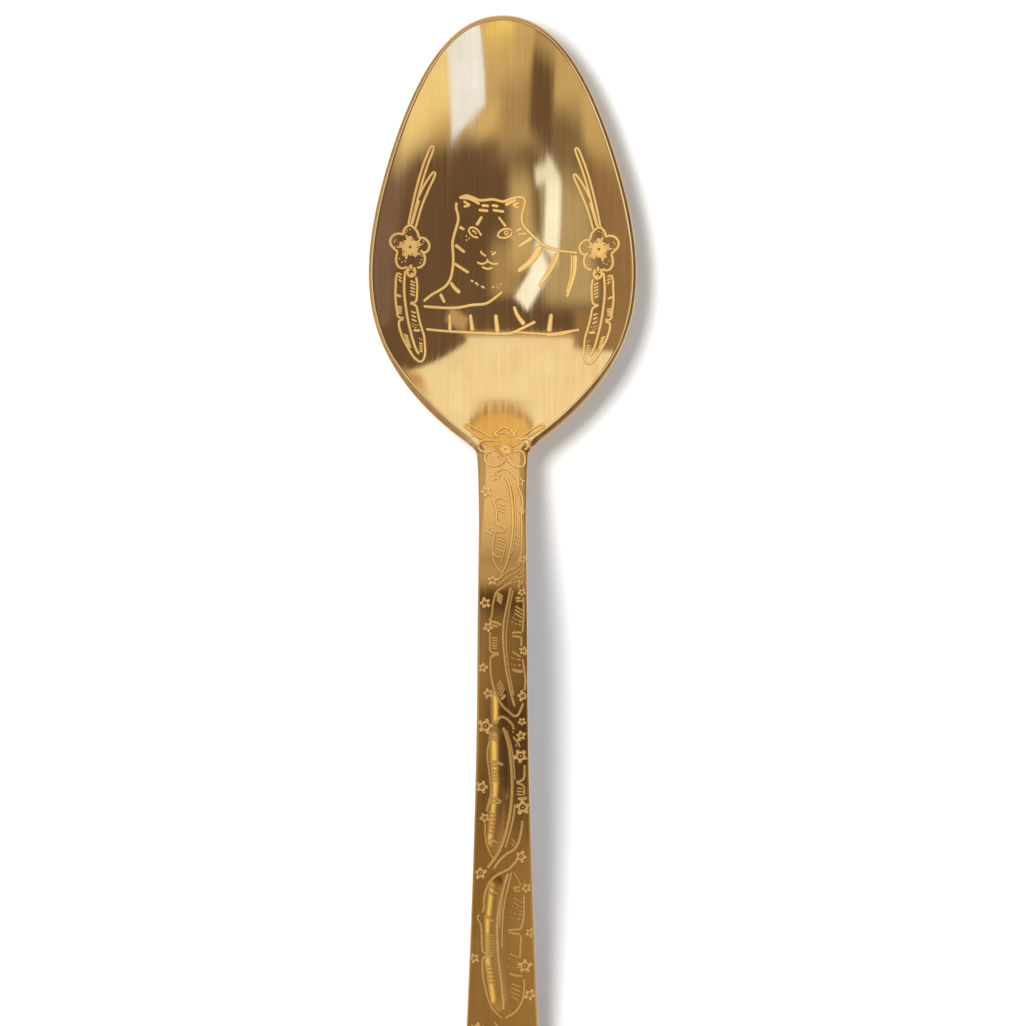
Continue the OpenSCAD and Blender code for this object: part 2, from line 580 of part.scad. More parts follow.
module end_blossom() {
    color("khaki")
        for (k = [0:4]) {
            a = 72 * k;
            petal = END_CENTRE + 0.62 * END_R * [sin(a), cos(a)];
            line([for (q = [-120:30:120]) petal + 0.42 * END_R * [sin(a + q), cos(a + q)]]);
            for (s = [-20, 20])
                tick(END_CENTRE, END_CENTRE + 0.5 * END_R * [sin(a + s), cos(a + s)], 0.18);
        }
}

bowl();
handle();
tiger_outline();
tiger_face();
tiger_stripes();
tiger_paws();
left_needles();
left_blossom();
left_leaf();
right_needles();
right_blossom();
right_leaf();
neck_needles();
neck_blossom();
handle_leaf_1();
handle_leaf_2();
handle_leaf_3();
handle_leaf_4();
handle_leaf_5();
handle_twigs();
handle_blossoms();
end_blossom();
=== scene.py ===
"""A gold-toned souvenir teaspoon, struck with a lying tiger, blossom sprigs and leaves."""

import logging
import math
from dataclasses import dataclass, field
from enum import Enum

import bpy
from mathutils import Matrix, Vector

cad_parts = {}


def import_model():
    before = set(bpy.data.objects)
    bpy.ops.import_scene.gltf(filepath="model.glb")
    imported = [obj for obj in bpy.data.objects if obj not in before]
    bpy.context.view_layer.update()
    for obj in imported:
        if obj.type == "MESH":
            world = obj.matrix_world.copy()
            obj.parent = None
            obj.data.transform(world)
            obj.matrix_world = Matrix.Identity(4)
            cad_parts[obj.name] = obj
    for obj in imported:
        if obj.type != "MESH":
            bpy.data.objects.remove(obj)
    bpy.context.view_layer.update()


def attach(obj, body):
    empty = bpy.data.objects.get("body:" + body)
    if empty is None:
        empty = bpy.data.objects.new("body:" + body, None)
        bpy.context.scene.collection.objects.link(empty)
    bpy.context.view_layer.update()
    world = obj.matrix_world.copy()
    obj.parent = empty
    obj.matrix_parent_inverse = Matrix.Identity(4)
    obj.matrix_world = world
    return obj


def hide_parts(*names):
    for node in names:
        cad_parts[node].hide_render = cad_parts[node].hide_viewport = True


log = logging.getLogger("teaspoon")

MM = 0.001
# The point attribute that marks where a finish takes its second tone: painted shade on the sides of struck
# lines, and a painted highlight on the handle's domed leaf fields.
SHADE_AND_GLINT_LAYER = "edge"
Point = tuple[float, float]
Path = list[Point]


class Region(Enum):
    """The two stretches of the blank, which meet at the neck."""

    BOWL = "bowl"
    HANDLE = "handle"


class Brush(Enum):
    """How the ground was finished before the picture was struck."""

    LENGTHWISE = "lengthwise"
    SATIN = "satin"


# --------------------------------------------------------------------------- operators


def deselect() -> None:
    """Deselects every object, so that an operator acts only on what is chosen next."""
    bpy.ops.object.select_all(action="DESELECT")


def choose(*pieces: bpy.types.Object) -> None:
    """Selects the given objects and makes the first one active.

    Args:
        pieces: The objects that the next operator acts on.
    """
    deselect()
    for piece in pieces:
        piece.select_set(True)
    bpy.context.view_layer.objects.active = pieces[0]


def smoothed(piece: bpy.types.Object, degrees: float) -> None:
    """Shades a piece smooth, keeping edges sharper than the given angle.

    Args:
        piece: The object to shade.
        degrees: The angle between faces from which an edge stays crisp.
    """
    choose(piece)
    bpy.ops.object.shade_smooth_by_angle(angle=math.radians(degrees))


def ramp(low: float, high: float, value: float) -> float:
    """A soft step from 0 at low to 1 at high; low may be the larger number.

    Args:
        low: The value at which the step starts.
        high: The value at which it ends.
        value: The value to look up.

    Returns:
        A number from 0 to 1.
    """
    share = max(0.0, min(1.0, (value - low) / (high - low)))
    return share * share * (3 - 2 * share)


# --------------------------------------------------------------------------- the form


@dataclass(frozen=True)
class Station:
    """The section of the blank at one place along its length, in millimetres."""

    y: float
    edge_z: float
    thickness: float
    half_strip: float


@dataclass
class SpoonForm:
    """The height of the spoon's faces over the table, in millimetres.

    The numbers repeat the design's own, so that every piece lies where its node does. Only the
    domed leaf fields are added, because the design leaves them flat.
    """

    tip_y: float = 70.0
    end_y: float = -70.0
    split_y: float = 21.0
    egg_y: float = 20.2
    egg_tip_y: float = 70.08
    egg_width: float = 29.8
    egg_shape: tuple[float, ...] = (1.0, -0.24, -0.057, 0.306, -0.12)
    shoulder: float = 1.44
    deep_y: float = 41.0
    fade_y: float = 20.0
    depth: float = 7.2
    crown: float = 0.12
    rim_land: float = 0.45
    handle_land: float = 0.28
    end_round: float = 5.0
    end_power: float = 2.6
    tip_squeeze_y: float = 69.0
    table_step: float = 0.02
    domes: tuple[tuple[float, ...], ...] = (
        (-0.35, -7.6, -0.35, -9.7, 0.9),
        (-0.35, -12.4, -0.3, -17.6, 1.2), (-0.3, -17.6, -0.95, -23.6, 1.0), (-0.75, -29.2, -1.2, -33.0, 1.0),
        (-1.3, -33.0, -1.25, -36.3, 0.9), (-1.2, -37.4, -0.6, -41.6, 1.0),
    )
    dome_height: float = 0.12
    dome_end: float = 1.7
    # Where across a domed leaf field its painted highlight lies, and how wide it is.
    painted_glint_at: float = 0.5
    painted_glint_run: float = 0.3
    stations: tuple[Station, ...] = (
        Station(-70, 1.72, 1.75, 5.3),
        Station(-64, 2.1, 2.1, 5.1),
        Station(-56, 4.75, 2.0, 4.7),
        Station(-45, 8.25, 2.1, 4.1),
        Station(-32, 12.3, 2.2, 3.55),
        Station(-20, 15.4, 2.35, 3.15),
        Station(-10, 16.85, 2.5, 2.93),
        Station(-3, 17.05, 2.6, 2.87),
        Station(3, 16.45, 2.6, 2.82),
        Station(8, 14.75, 2.6, 2.75),
        Station(13, 12.8, 2.5, 2.7),
        Station(18, 10.7, 2.3, 2.8),
        Station(22, 9.2, 1.9, 3.0),
        Station(26, 8.7, 1.5, 2.8),
        Station(33, 8.55, 1.3, 2.7),
        Station(45, 8.38, 1.2, 2.7),
        Station(58, 8.25, 1.15, 2.7),
        Station(70, 8.2, 1.1, 2.7),
    )
    rows: list[tuple[float, ...]] = field(default_factory=list)

    def __post_init__(self) -> None:
        """Tabulates what depends on y alone, because every point of every mesh asks for it."""
        count = round((self.tip_y - self.end_y) / self.table_step)
        ys = [self.end_y + self.table_step * i for i in range(count + 1)]
        halves = [self._half_width(y) for y in ys]
        for i, y in enumerate(ys):
            before, after = max(0, i - 1), min(count, i + 1)
            slope = (halves[after] - halves[before]) / (ys[after] - ys[before])
            inner = halves[i] - self.land(y) * math.sqrt(1 + slope * slope)
            self.rows.append(
                (halves[i], inner, self._curve("edge_z", y), self._curve("thickness", y), self._hollow(y))
            )

    def _curve(self, name: str, y: float) -> float:
        """A smooth curve through one value of the stations.

        Args:
            name: The station's field.
            y: The place along the spoon.

        Returns:
            The value there.
        """
        rows = self.stations
        last = len(rows) - 1
        i = 0
        while i < last - 1 and y >= rows[i + 1].y:
            i += 1

        def slope(k: int) -> float:
            """The slope at one station, from its neighbours."""
            a, b = rows[max(k - 1, 0)], rows[min(k + 1, last)]
            return (getattr(b, name) - getattr(a, name)) / (b.y - a.y)

        gap = rows[i + 1].y - rows[i].y
        s = (y - rows[i].y) / gap
        low, high = getattr(rows[i], name), getattr(rows[i + 1], name)
        bend = (s**3 - 2 * s**2 + s) * gap * slope(i) + (s**3 - s**2) * gap * slope(i + 1)
        return (2 * s**3 - 3 * s**2 + 1) * low + (3 * s**2 - 2 * s**3) * high + bend

    def _egg(self, y: float) -> float:
        """Half the width of the egg outline, which closes at both its ends."""
        if y > self.tip_squeeze_y:
            reach = (self.egg_tip_y - self.tip_squeeze_y) / (self.tip_y - self.tip_squeeze_y)
            y = self.tip_squeeze_y + (y - self.tip_squeeze_y) * reach
        u = (y - (self.egg_tip_y + self.egg_y) / 2) / ((self.egg_tip_y - self.egg_y) / 2)
        if abs(u) >= 1:
            return 0.0
        skew = sum(c * u**p for p, c in enumerate(self.egg_shape))
        return self.egg_width / 2 * math.sqrt(1 - u * u) * skew

    def _half_width(self, y: float) -> float:
        """Half the spoon's width: the wider of egg and strip, with a soft corner between."""
        egg = self._egg(y)
        middle = (self.egg_tip_y + self.egg_y) / 2
        if y > middle:
            return egg
        fall = max(0.0, min(1.0, (self.end_y + self.end_round - y) / self.end_round))
        strip = self._curve("half_strip", y) * (1 - fall**self.end_power) ** (1 / self.end_power)
        if egg == 0.0:
            return strip
        soft = self.shoulder * (1 - ramp(30, middle, y))
        base = strip - soft**2 / (4 * strip)
        return (egg + base + math.hypot(egg - base, soft)) / 2

    def _hollow(self, y: float) -> float:
        """Depth of the hollow along the middle line, running out softly at the heel."""
        if y > self.deep_y:
            u = min(1.0, (y - self.deep_y) / (self.tip_y - self.rim_land - self.deep_y))
            return self.depth * (1 - u * u)
        u = min(1.0, (self.deep_y - y) / (self.deep_y - self.fade_y))
        return self.depth * (1 - u * u) ** 1.5

    def land(self, y: float) -> float:
        """Width of the rounded land along the edge: wider at the heel, narrow on the handle."""
        heel = self.rim_land * ramp(33, 25, y)
        return self.handle_land + (self.rim_land - self.handle_land + heel) * ramp(9, 19, y)

    def row(self, y: float) -> tuple[float, ...]:
        """The tabulated values at y: half width, inner half width, edge height, thickness, hollow."""
        place = max(0.0, min((y - self.end_y) / self.table_step, len(self.rows) - 1.001))
        i = int(place)
        s = place - i
        return tuple(a + (b - a) * s for a, b in zip(self.rows[i], self.rows[i + 1]))

    def wall(self, share: float) -> float:
        """How much of the hollow's depth is left at a share of the way from middle to rim."""
        s = min(1.0, abs(share))
        return 1 - s * s

    def _fields(self, x: float, y: float) -> list[Point]:
        """Where a point lies in the domed leaf fields near it, in shares of their reach."""
        found = []
        for x0, y0, x1, y1, reach in self.domes:
            end = reach * self.dome_end
            if y1 - end < y < y0 + end:
                s = max(0.0, min(1.0, (y0 - y) / (y0 - y1)))
                found.append(((x - x0 - (x1 - x0) * s) / reach, (y - y0 - (y1 - y0) * s) / end))
        return found

    def swell(self, x: float, y: float) -> float:
        """Height that the domed leaf fields of the handle add."""
        shares = (max(0.0, 1 - u * u - v * v) for u, v in self._fields(x, y))
        return self.dome_height * max(shares, default=0.0)

    def painted_glint(self, x: float, y: float) -> float:
        """How much of the painted highlight band a point on the flank of a domed field takes, from 0 to 1."""
        return max(
            (
                math.exp(-(((u + self.painted_glint_at) / self.painted_glint_run) ** 2)) * ramp(0.6, 0.2, abs(v))
                for u, v in self._fields(x, y)
            ),
            default=0.0,
        )

    def top(self, x: float, y: float) -> float:
        """Height of the upper face."""
        half, inner, edge, _, hollow = self.row(y)
        bow = self.crown * (1 - ramp(self.fade_y, 30, y)) * min(1.0, abs(x) / max(half, 0.1)) ** 2
        return edge - hollow * self.wall(x / max(0.05, inner)) - bow + self.swell(x, y)

    def under(self, x: float, y: float) -> float:
        """Height of the underside, which is flat on the table at the handle's foot."""
        half, _, edge, thickness, hollow = self.row(y)
        return max(0.0, edge - thickness - hollow * self.wall(x / max(half, 0.1)))

    def normal(self, x: float, y: float) -> Vector:
        """The upper face's normal."""
        step = 0.05
        dx = (self.top(x + step, y) - self.top(x - step, y)) / (2 * step)
        dy = (self.top(x, y + step) - self.top(x, y - step)) / (2 * step)
        return Vector((-dx, -dy, 1)).normalized()

    def lifted(self, x: float, y: float, height: float) -> Vector:
        """The point at a height over the upper face, measured square to it.

        Args:
            x: Place across the spoon.
            y: Place along it.
            height: How far over the face the point is.

        Returns:
            The point, in metres.
        """
        return (Vector((x, y, self.top(x, y))) + height * self.normal(x, y)) * MM


# --------------------------------------------------------------------------- finishes


class Shades:
    """The shader node groups that more than one finish uses, each built once."""

    def __init__(self) -> None:
        """Builds the groups."""
        self.grain = self._grain()
        self.neck_shade = self._neck_shade_group()
        self.sides = self._painted_shade_and_glint()

    @staticmethod
    def _socket(tree: bpy.types.NodeTree, name: str, kind: str, out: bool, value: float = 0.0) -> None:
        """Adds a named input or output to a group.

        Args:
            tree: The group's tree.
            name: The socket's name.
            kind: The socket's type.
            out: True for an output.
            value: The default of a number input.
        """
        side = "OUTPUT" if out else "INPUT"
        socket = tree.interface.new_socket(name=name, in_out=side, socket_type=kind)
        if not out and kind == "NodeSocketFloat":
            socket.default_value = value

    def _grain(self) -> bpy.types.NodeTree:
        """Brush lines along the spoon with a slow tonal drift.

        Returns:
            A group with Lines, Length and Drift inputs, and Height, Rough and Tone outputs.
        """
        tree = bpy.data.node_groups.new("brushed_grain", "ShaderNodeTree")
        self._socket(tree, "Lines", "NodeSocketFloat", False, 2600.0)
        self._socket(tree, "Length", "NodeSocketFloat", False, 90.0)
        self._socket(tree, "Drift", "NodeSocketFloat", False, 180.0)
        self._socket(tree, "Height", "NodeSocketFloat", True)
        self._socket(tree, "Rough", "NodeSocketFloat", True)
        self._socket(tree, "Tone", "NodeSocketFloat", True)
        nodes, links = tree.nodes, tree.links
        inlet, outlet = nodes.new("NodeGroupInput"), nodes.new("NodeGroupOutput")
        place = nodes.new("ShaderNodeTexCoord")
        split = nodes.new("ShaderNodeSeparateXYZ")
        links.new(place.outputs["Object"], split.inputs[0])

        def stretched(across: bpy.types.NodeSocket, along: bpy.types.NodeSocket) -> bpy.types.Node:
            """A vector with x scaled by across, and y and z by along."""
            joined = nodes.new("ShaderNodeCombineXYZ")
            for axis, factor in zip("XYZ", (across, along, along)):
                scaled = nodes.new("ShaderNodeMath")
                scaled.operation = "MULTIPLY"
                links.new(split.outputs[axis], scaled.inputs[0])
                links.new(factor, scaled.inputs[1])
                links.new(scaled.outputs[0], joined.inputs[axis])
            return joined

        fine = nodes.new("ShaderNodeTexNoise")
        fine.inputs["Scale"].default_value = 1.0
        fine.inputs["Detail"].default_value = 4.0
        fine.inputs["Roughness"].default_value = 0.65
        brushed = stretched(inlet.outputs["Lines"], inlet.outputs["Length"])
        links.new(brushed.outputs[0], fine.inputs["Vector"])
        slow = nodes.new("ShaderNodeTexNoise")
        slow.inputs["Scale"].default_value = 1.0
        slow.inputs["Detail"].default_value = 3.0
        drifting = stretched(inlet.outputs["Drift"], inlet.outputs["Drift"])
        links.new(drifting.outputs[0], slow.inputs["Vector"])
        links.new(fine.outputs["Fac"], outlet.inputs["Height"])
        links.new(fine.outputs["Fac"], outlet.inputs["Rough"])
        tone = nodes.new("ShaderNodeMix")
        tone.inputs["Factor"].default_value = 0.5
        links.new(fine.outputs["Fac"], tone.inputs["A"])
        links.new(slow.outputs["Fac"], tone.inputs["B"])
        links.new(tone.outputs["Result"], outlet.inputs["Tone"])
        return tree

    def _neck_shade_group(self) -> bpy.types.NodeTree:
        """Painted shade: tone that deepens below the neck, for the handle's darker look, in place of the
        darker reflections there.

        Returns:
            A group with Color, Share, Low and High inputs, and a Color output.
        """
        tree = bpy.data.node_groups.new("painted_neck_shade", "ShaderNodeTree")
        self._socket(tree, "Color", "NodeSocketColor", False)
        self._socket(tree, "Share", "NodeSocketFloat", False, 1.0)
        self._socket(tree, "Low", "NodeSocketFloat", False, 0.006)
        self._socket(tree, "High", "NodeSocketFloat", False, 0.015)
        self._socket(tree, "Color", "NodeSocketColor", True)
        nodes, links = tree.nodes, tree.links
        inlet, outlet = nodes.new("NodeGroupInput"), nodes.new("NodeGroupOutput")
        place = nodes.new("ShaderNodeTexCoord")
        split = nodes.new("ShaderNodeSeparateXYZ")
        links.new(place.outputs["Object"], split.inputs[0])
        share = nodes.new("ShaderNodeMapRange")
        share.interpolation_type = "SMOOTHSTEP"
        links.new(split.outputs["Y"], share.inputs["Value"])
        links.new(inlet.outputs["Low"], share.inputs["From Min"])
        links.new(inlet.outputs["High"], share.inputs["From Max"])
        links.new(inlet.outputs["Share"], share.inputs["To Min"])
        darker = nodes.new("ShaderNodeVectorMath")
        darker.operation = "SCALE"
        links.new(inlet.outputs["Color"], darker.inputs[0])
        links.new(share.outputs["Result"], darker.inputs["Scale"])
        links.new(darker.outputs[0], outlet.inputs["Color"])
        return tree

    def _painted_shade_and_glint(self) -> bpy.types.NodeTree:
        """Second tone of a piece, painted where its edge attribute says: painted shade on the sides of struck
        lines, and a painted highlight on the flanks of the handle's domed leaf fields.

        Returns:
            A group with Color, Edge, Metal and Edge Metal inputs, and Color and Metal outputs.
        """
        tree = bpy.data.node_groups.new("painted_shade_and_glint", "ShaderNodeTree")
        self._socket(tree, "Color", "NodeSocketColor", False)
        self._socket(tree, "Edge", "NodeSocketColor", False)
        self._socket(tree, "Metal", "NodeSocketFloat", False, 1.0)
        self._socket(tree, "Edge Metal", "NodeSocketFloat", False, 1.0)
        self._socket(tree, "Color", "NodeSocketColor", True)
        self._socket(tree, "Metal", "NodeSocketFloat", True)
        nodes, links = tree.nodes, tree.links
        inlet, outlet = nodes.new("NodeGroupInput"), nodes.new("NodeGroupOutput")
        mark = nodes.new("ShaderNodeAttribute")
        mark.attribute_name = SHADE_AND_GLINT_LAYER
        tone = nodes.new("ShaderNodeMix")
        tone.data_type = "RGBA"
        metal = nodes.new("ShaderNodeMapRange")
        links.new(mark.outputs["Fac"], tone.inputs["Factor"])
        links.new(inlet.outputs["Color"], tone.inputs["A"])
        links.new(inlet.outputs["Edge"], tone.inputs["B"])
        links.new(mark.outputs["Fac"], metal.inputs["Value"])
        links.new(inlet.outputs["Metal"], metal.inputs["To Min"])
        links.new(inlet.outputs["Edge Metal"], metal.inputs["To Max"])
        links.new(tone.outputs["Result"], outlet.inputs["Color"])
        links.new(metal.outputs["Result"], outlet.inputs["Metal"])
        return tree


@dataclass(frozen=True)
class Gilt:
    """A gold-toned metal finish."""

    name: str
    deep: tuple[float, float, float]
    light: tuple[float, float, float]
    rough_low: float
    rough_high: float
    line_height: float
    brush: Brush = Brush.LENGTHWISE
    metallic: float = 1.0
    edge: tuple[float, float, float] | None = None
    edge_metallic: float | None = None
    painted_shade_below_neck: float = 1.0
    specular: float = 0.2
    satin_grain: float = 5000.0
    tone_span: tuple[float, float] = (0.35, 0.65)
    rough_span: tuple[float, float] = (0.3, 0.7)

    def material(self, shades: Shades) -> bpy.types.Material:
        """Builds the finish.

        Args:
            shades: The shared node groups.

        Returns:
            The material.
        """
        made = bpy.data.materials.new(self.name)
        made.use_nodes = True
        nodes, links = made.node_tree.nodes, made.node_tree.links
        shader = nodes["Principled BSDF"]
        shader.inputs["Metallic"].default_value = self.metallic
        shader.inputs["Specular IOR Level"].default_value = self.specular
        grain = nodes.new("ShaderNodeGroup")
        grain.node_tree = shades.grain
        if self.brush is Brush.SATIN:
            grain.inputs["Lines"].default_value = self.satin_grain
            grain.inputs["Length"].default_value = self.satin_grain

        tone = nodes.new("ShaderNodeValToRGB")
        for stop, place, colour in zip(tone.color_ramp.elements, self.tone_span, (self.deep, self.light)):
            stop.position = place
            stop.color = (*colour, 1)
        links.new(grain.outputs["Tone"], tone.inputs["Fac"])
        colour = tone.outputs["Color"]
        # Painted shade that deepens the colour below the neck.
        if self.painted_shade_below_neck < 1:
            neck_shade = nodes.new("ShaderNodeGroup")
            neck_shade.node_tree = shades.neck_shade
            neck_shade.inputs["Share"].default_value = self.painted_shade_below_neck
            links.new(colour, neck_shade.inputs["Color"])
            colour = neck_shade.outputs["Color"]
        # The edge colour is painted: shade on the sides of struck lines, and a highlight on the handle's
        # domed leaf fields.
        if self.edge:
            edge_metallic = self.metallic if self.edge_metallic is None else self.edge_metallic
            sides = nodes.new("ShaderNodeGroup")
            sides.node_tree = shades.sides
            sides.inputs["Edge"].default_value = (*self.edge, 1)
            sides.inputs["Metal"].default_value = self.metallic
            sides.inputs["Edge Metal"].default_value = edge_metallic
            links.new(colour, sides.inputs["Color"])
            colour = sides.outputs["Color"]
            if edge_metallic != self.metallic:
                links.new(sides.outputs["Metal"], shader.inputs["Metallic"])
        links.new(colour, shader.inputs["Base Color"])

        rough = nodes.new("ShaderNodeMapRange")
        rough.inputs["From Min"].default_value = self.rough_span[0]
        rough.inputs["From Max"].default_value = self.rough_span[1]
        rough.inputs["To Min"].default_value = self.rough_low
        rough.inputs["To Max"].default_value = self.rough_high
        links.new(grain.outputs["Rough"], rough.inputs["Value"])
        links.new(rough.outputs["Result"], shader.inputs["Roughness"])

        bump = nodes.new("ShaderNodeBump")
        bump.inputs["Strength"].default_value = 1.0
        bump.inputs["Distance"].default_value = self.line_height
        links.new(grain.outputs["Height"], bump.inputs["Height"])
        links.new(bump.outputs["Normal"], shader.inputs["Normal"])
        return made


# --------------------------------------------------------------------------- the blank


@dataclass
class Rib:
    """One line of the blank's mesh, from its spine out to the edge and back underneath."""

    edge: Vector
    spine: Vector
    inward: Vector = field(default_factory=lambda: Vector((0, 0)))


@dataclass
class Blank:
    """The bare metal of one region, as a closed mesh whose lines follow the outline."""

    form: SpoonForm
    region: Region
    fan_y: float
    step: float
    fan_ribs: int
    inner_steps: int
    under_steps: int
    land_steps: int = 8
    side_steps: int = 3
    land_drop: float = 0.32
    lower_round: float = 0.35
    top_margin: float = 0.1
    weld: float = 0.002
    crease: float = 50.0

    def _outline(self) -> list[Rib]:
        """The ribs in order along the outline, from one side of the neck round to the other.

        Returns:
            The ribs, with the direction inward from the edge at each.
        """
        end = self.form.tip_y if self.region is Region.BOWL else self.form.end_y
        count = round(abs(self.fan_y - self.form.split_y) / self.step)
        ys = [self.form.split_y + (self.fan_y - self.form.split_y) * i / count for i in range(count + 1)]
        left = [Rib(Vector((-self.form.row(y)[0], y)), Vector((0, y))) for y in ys]
        pole = Vector((0, self.fan_y))
        fan = [
            Rib(self._on_ray(math.pi / 2 * (1 - i / self.fan_ribs), end), pole)
            for i in range(1, self.fan_ribs)
        ]
        tip = Rib(Vector((0, end)), pole)
        half = left + fan
        mirrored = [Rib(Vector((-r.edge.x, r.edge.y)), r.spine) for r in reversed(half)]
        ribs = half + [tip] + mirrored
        turn = 1 if self.region is Region.BOWL else -1
        for i, rib in enumerate(ribs):
            before, after = ribs[max(0, i - 1)].edge, ribs[min(len(ribs) - 1, i + 1)].edge
            along = (after - before).normalized()
            rib.inward = Vector((along.y, -along.x)) * turn
        for rib in (ribs[0], ribs[-1]):
            rib.inward = Vector((math.copysign(1, -rib.edge.x), 0))
        return ribs

    def _on_ray(self, angle: float, end: float) -> Vector:
        """Where a ray from the fan's pole leaves the outline, on the left side.

        Args:
            angle: The ray's angle from the long axis.
            end: The outline's end along that axis.

        Returns:
            The point on the outline.
        """
        low, high = 0.0, abs(end - self.fan_y)
        way = math.copysign(1, end - self.fan_y)
        for _ in range(50):
            reach = (low + high) / 2
            half = self.form.row(self.fan_y + way * reach)[0]
            if math.atan2(half, reach) > angle:
                low = reach
            else:
                high = reach
        return Vector((-half, self.fan_y + way * reach))

    def _profile(self, rib: Rib) -> list[Vector]:
        """The points of one rib: over the top, round the edge and back underneath.

        Args:
            rib: The rib.

        Returns:
            The points in order, in metres.
        """
        land = self.form.land(rib.edge.y)
        _, _, edge_z, thickness, _ = self.form.row(rib.edge.y)
        inner = rib.edge + rib.inward * land
        points = []
        for i in range(self.inner_steps + 1):
            flat = rib.spine.lerp(inner, i / self.inner_steps)
            points.append(Vector((flat.x, flat.y, self.form.top(flat.x, flat.y))))
        top_z = points[-1].z
        for i in range(1, self.land_steps + 1):
            turn = math.pi / 2 * i / self.land_steps
            flat = inner.lerp(rib.edge, math.sin(turn))
            points.append(Vector((flat.x, flat.y, top_z - self.land_drop * (1 - math.cos(turn)))))
        low_z = max(0.0, edge_z - thickness)
        side_top, side_end = points[-1].z, low_z + self.lower_round
        for i in range(1, self.side_steps + 1):
            z = side_top + (side_end - side_top) * i / self.side_steps
            points.append(Vector((rib.edge.x, rib.edge.y, z)))
        inset = rib.edge + rib.inward * self.lower_round
        rounding = self.land_steps // 2
        for i in range(1, rounding + 1):
            turn = math.pi / 2 * i / rounding
            flat = rib.edge.lerp(inset, 1 - math.cos(turn))
            under = self.form.under(flat.x, flat.y)
            points.append(Vector((flat.x, flat.y, under + (side_end - low_z) * (1 - math.sin(turn)))))
        for i in range(1, self.under_steps + 1):
            flat = inset.lerp(rib.spine, i / self.under_steps)
            points.append(Vector((flat.x, flat.y, self.form.under(flat.x, flat.y))))
        return [p * MM for p in points]

    def build(self) -> bpy.types.Object:
        """Forms the blank from a flat sheet of quads.

        Returns:
            The closed piece.
        """
        ribs = [self._profile(rib) for rib in self._outline()]
        across, along = len(ribs[0]), len(ribs)
        deselect()
        bpy.ops.mesh.primitive_grid_add(x_subdivisions=across - 1, y_subdivisions=along - 1, size=1)
        piece = bpy.context.object
        piece.name = "gilt_" + self.region.value
        band = range(self.inner_steps, self.inner_steps + self.land_steps + self.side_steps)
        for polygon in piece.data.polygons:
            column = math.floor((polygon.center.x + 0.5) * (across - 1))
            # The land's first column takes the third material: on the bowl a painted highlight line along the
            # rim's inner crease.
            polygon.material_index = int(column in band) + int(column == self.inner_steps)
        for vertex in piece.data.vertices:
            column = round((vertex.co.x + 0.5) * (across - 1))
            line = round((vertex.co.y + 0.5) * (along - 1))
            vertex.co = ribs[line][column]
        # Painted highlight: the handle's top carries a pale band on the flanks of its domed leaf fields; the
        # bowl has none.
        layer = piece.data.attributes.new(SHADE_AND_GLINT_LAYER, "FLOAT", "POINT")
        for vertex, value in zip(piece.data.vertices, layer.data):
            place = vertex.co / MM
            on_top = place.z > self.form.top(place.x, place.y) - self.top_margin
            value.value = self.form.painted_glint(place.x, place.y) if on_top else 0.0
        bpy.ops.object.mode_set(mode="EDIT")
        bpy.ops.mesh.select_all(action="SELECT")
        bpy.ops.mesh.remove_doubles(threshold=self.weld * MM)
        bpy.ops.mesh.select_all(action="DESELECT")
        bpy.ops.mesh.select_non_manifold(extend=False, use_multi_face=False, use_verts=False)
        bpy.ops.mesh.fill(use_beauty=True)
        bpy.ops.mesh.select_all(action="SELECT")
        bpy.ops.mesh.normals_make_consistent(inside=False)
        bpy.ops.object.mode_set(mode="OBJECT")
        smoothed(piece, self.crease)
        return piece


# --------------------------------------------------------------------------- struck lines


@dataclass(frozen=True)
class Stroke:
    """One struck line, in millimetres on the plan of the spoon."""

    path: tuple[Point, ...]
    width: float
    tail: float
    beads: float = 0.0
    closed: bool = False


@dataclass(frozen=True)
class Placement:
    """Where a drawing lands on the plan: turned over, scaled and moved."""

    scale_x: float = 1.0
    scale_y: float = 1.0
    move_x: float = 0.0
    move_y: float = 0.0

    def put(self, point: Point) -> Point:
        """A point of the drawing on the plan."""
        return (point[0] * self.scale_x + self.move_x, point[1] * self.scale_y + self.move_y)


def arc(centre: Point, radius: float, start: float, end: float, points: int = 9) -> Path:
    """Points along a round arc.

    Args:
        centre: The arc's centre.
        radius: Its radius.
        start: The angle of the first point in degrees, from the x axis towards y.
        end: The angle of the last point.
        points: How many points.

    Returns:
        The points.
    """
    turns = [math.radians(start + (end - start) * i / (points - 1)) for i in range(points)]
    return [(centre[0] + radius * math.cos(t), centre[1] + radius * math.sin(t)) for t in turns]


def flowing(points: Path, step: float) -> Path:
    """A smooth curve through the points, with even steps.

    Args:
        points: The points that it passes through.
        step: The distance between the curve's own points.

    Returns:
        The curve's points.
    """
    if len(points) == 2:
        ends = [Vector(p) for p in points]
        count = max(2, round((ends[1] - ends[0]).length / step))
        return [tuple(ends[0].lerp(ends[1], i / count)) for i in range(count + 1)]
    knots = [Vector(p) for p in points]
    knots = [2 * knots[0] - knots[1], *knots, 2 * knots[-1] - knots[-2]]
    curve = [tuple(knots[1])]
    for a, b, c, d in zip(knots, knots[1:], knots[2:], knots[3:]):
        gap = (c - b).length
        slope_b = (c - a) * gap / max((c - a).length, 1e-6)
        slope_c = (d - b) * gap / max((d - b).length, 1e-6)
        count = max(2, round(gap / step))
        for i in range(1, count + 1):
            s = i / count
            bend = (s**3 - 2 * s**2 + s) * slope_b + (s**3 - s**2) * slope_c
            curve.append(tuple((2 * s**3 - 3 * s**2 + 1) * b + (3 * s**2 - 2 * s**3) * c + bend))
    return curve


